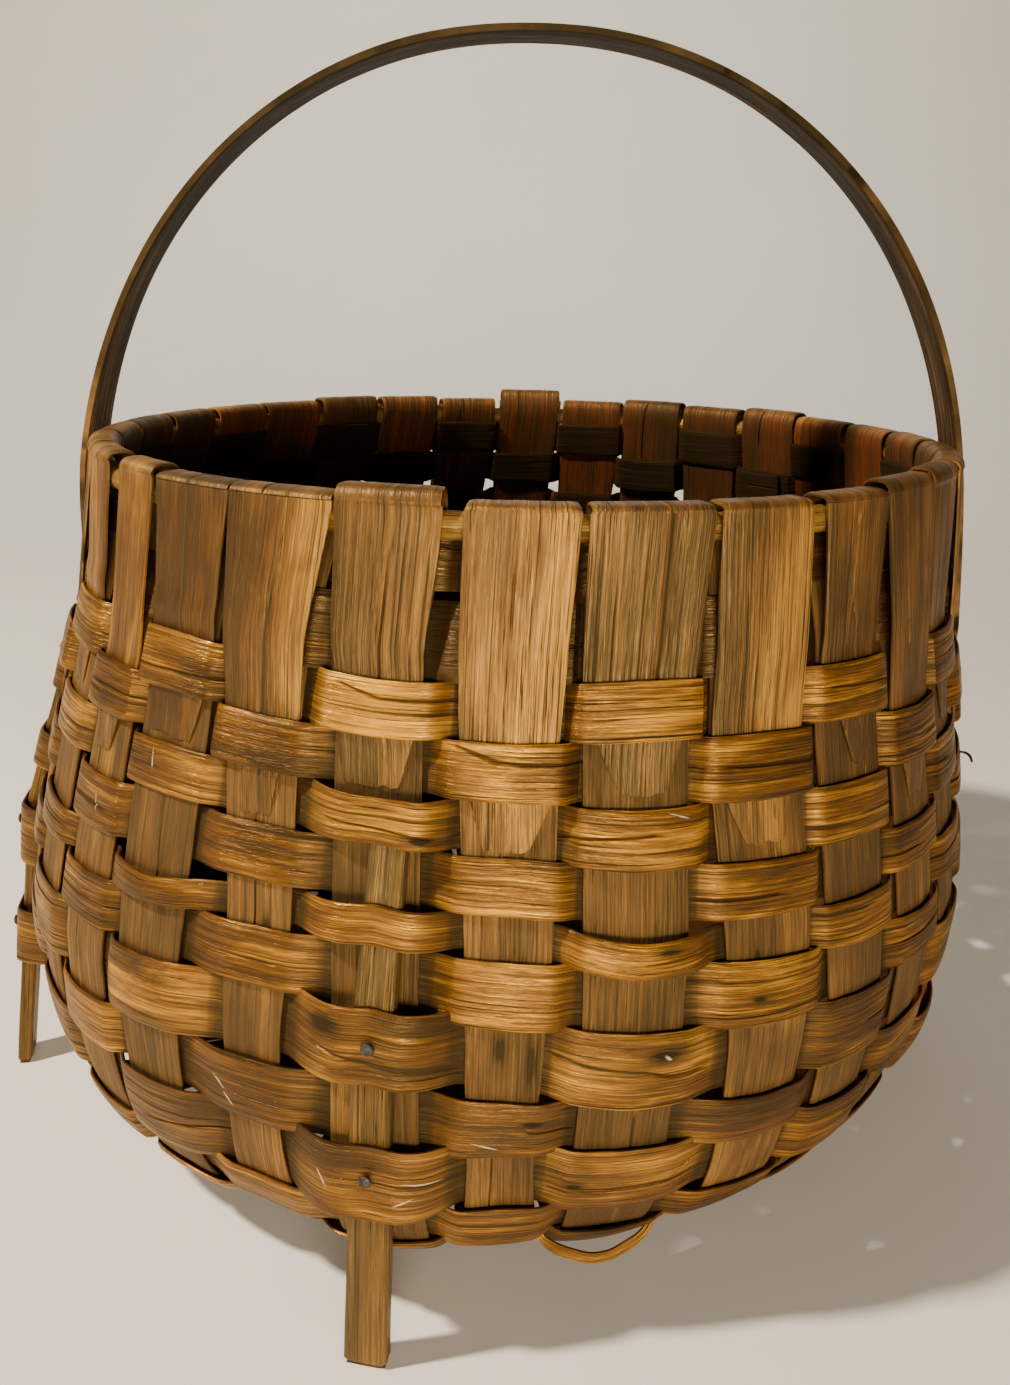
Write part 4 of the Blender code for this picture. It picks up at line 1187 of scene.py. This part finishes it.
def iron():
    """Dark iron, worn brighter in spots."""
    g = Graph("iron")
    worn = g.noise(g.node("ShaderNodeTexCoord", {}).outputs["Object"], 900.0, 4.0, 0.6)
    return g.surface({
        "Base Color": g.ramp(worn, [(0.3, (0.020, 0.016, 0.014)), (0.7, (0.09, 0.07, 0.055))]),
        "Metallic": 0.7, "Roughness": g.span(worn, 0.3, 0.7, 0.65, 0.4),
        "Normal": g.bump(worn, 0.5, 0.0002)})


def paper():
    """The stage's pale paper, faintly uneven."""
    g = Graph("floor")
    soft = g.noise(g.node("ShaderNodeTexCoord", {}).outputs["Object"], 3.0, 3.0, 0.5)
    return g.surface({"Base Color": g.ramp(soft, [(0.3, (0.86, 0.81, 0.70)), (0.7, (0.90, 0.85, 0.745))]),
                      "Roughness": 0.7})


def dress(piece, material, owner=None):
    """Material and body of a piece, and its CAD node hidden unless it has an owner."""
    piece.data.materials.append(material)
    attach(piece, BODY)
    node = piece.name.removeprefix("look_")
    if owner is None:
        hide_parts(node)


def build():
    """All pieces of the basket, the ones with knots before their materials."""
    strips = {
        "splint_wood": [splint(kind, number, index) for kind in range(len(BASE_COUNTS))
                        for number, index in enumerate(base_indices(kind), start=1)],
        "weaver_wood": [weaver(row) for row in range(1, len(ROW_WIDTHS) + 1)],
    }
    woods = {name: wood(name, MARKS if name in strips else (), **look) for name, look in WOODS.items()}
    for name, pieces in strips.items():
        for piece in pieces:
            dress(piece, woods[name])
    for name, owner, kind, width, points in SLIVERS:
        dress(sliver(name, width, points), woods[kind], owner)
    dress(rim_rod(), woods["rod_wood"])
    dress(handle(), woods["handle_wood"])
    legs, metal = {leg.name: leg for leg in LEGS}, iron()
    for leg in LEGS:
        dress(leg_stick(leg), woods["stick_wood"])
    for node in sorted(frame["nodes"]):
        if node.startswith("nail_"):
            _, name, row = node.split("_")
            dress(nail(legs[name], int(row)), metal)


# The photograph's camera: place from the rim's centre, tilt and roll, focal length in pixels
CAMERA_PLACE = (-0.0051, -0.424, 0.050)
CAMERA_TILT, CAMERA_ROLL = math.radians(71.31), math.radians(1.20)
FOCAL_PIXELS, PHOTO_HEIGHT = 1162, 1385
SENSOR = 24.0
# Lamps: place, aim, sizes, spread, watts and colour
BASKET, BACKDROP = (0.0, 0.0, 0.15), (0.0, 1.6, 0.6)
LAMPS = {
    "key": ((-0.98, -0.36, 1.30), BASKET, (0.10, 0.10), 180, 41, (1.0, 0.90, 0.78)),
    "front": ((0.12, -1.25, 0.24), BASKET, (0.9, 0.28), 180, 18, (1.0, 0.90, 0.76)),
    "wall": ((0.0, 0.7, 2.4), BACKDROP, (1.2, 1.2), 75, 4, (0.90, 0.95, 1.0)),
}
SKY_COLOUR, SKY_STRENGTH = (0.95, 0.96, 1.0, 1), 0.055


def stage():
    """Pale sweep of floor and backdrop, soft studio light and the photograph's camera."""
    curve = [(0.9 + 0.7 * math.sin(t), 0.7 - 0.7 * math.cos(t)) for t in np.linspace(0, math.pi / 2, 13)]
    line = [(-2.5, 0.0), *curve, (1.6, 3.0)]
    mesh = bpy.data.meshes.new("floor")
    mesh.from_pydata([(x, y, z) for y, z in line for x in (-3.0, 3.0)], [],
                     [(2 * k, 2 * k + 1, 2 * k + 3, 2 * k + 2) for k in range(len(line) - 1)])
    mesh.shade_smooth()
    mesh.materials.append(paper())
    linked("floor", mesh)
    world = bpy.data.worlds.new("studio")
    world.use_nodes = True
    sky = world.node_tree.nodes["Background"].inputs
    sky[0].default_value, sky[1].default_value = SKY_COLOUR, SKY_STRENGTH
    bpy.context.scene.world = world
    for name, (place, aim, sizes, spread, power, colour) in LAMPS.items():
        light = bpy.data.lights.new(name, "AREA")
        light.shape, light.energy, light.color = "ELLIPSE", power, colour
        light.size, light.size_y = sizes
        light.spread = math.radians(spread)
        lamp = linked(name, light)
        lamp.location = place
        lamp.rotation_euler = (Vector(aim) - Vector(place)).to_track_quat("-Z", "Y").to_euler()
    camera = bpy.data.cameras.new("camera")
    camera.sensor_fit, camera.sensor_height = "VERTICAL", SENSOR
    camera.lens = SENSOR * FOCAL_PIXELS / PHOTO_HEIGHT
    camera.clip_start, camera.clip_end = 0.01, 50
    eye = linked("camera", camera)
    eye.location = RIM + CAMERA_PLACE
    turned = Matrix.Rotation(CAMERA_TILT, 3, "X") @ Matrix.Rotation(CAMERA_ROLL, 3, "Z")
    eye.rotation_euler = turned.to_euler()
    bpy.context.scene.camera = eye


build()
stage()
bpy.context.view_layer.update()
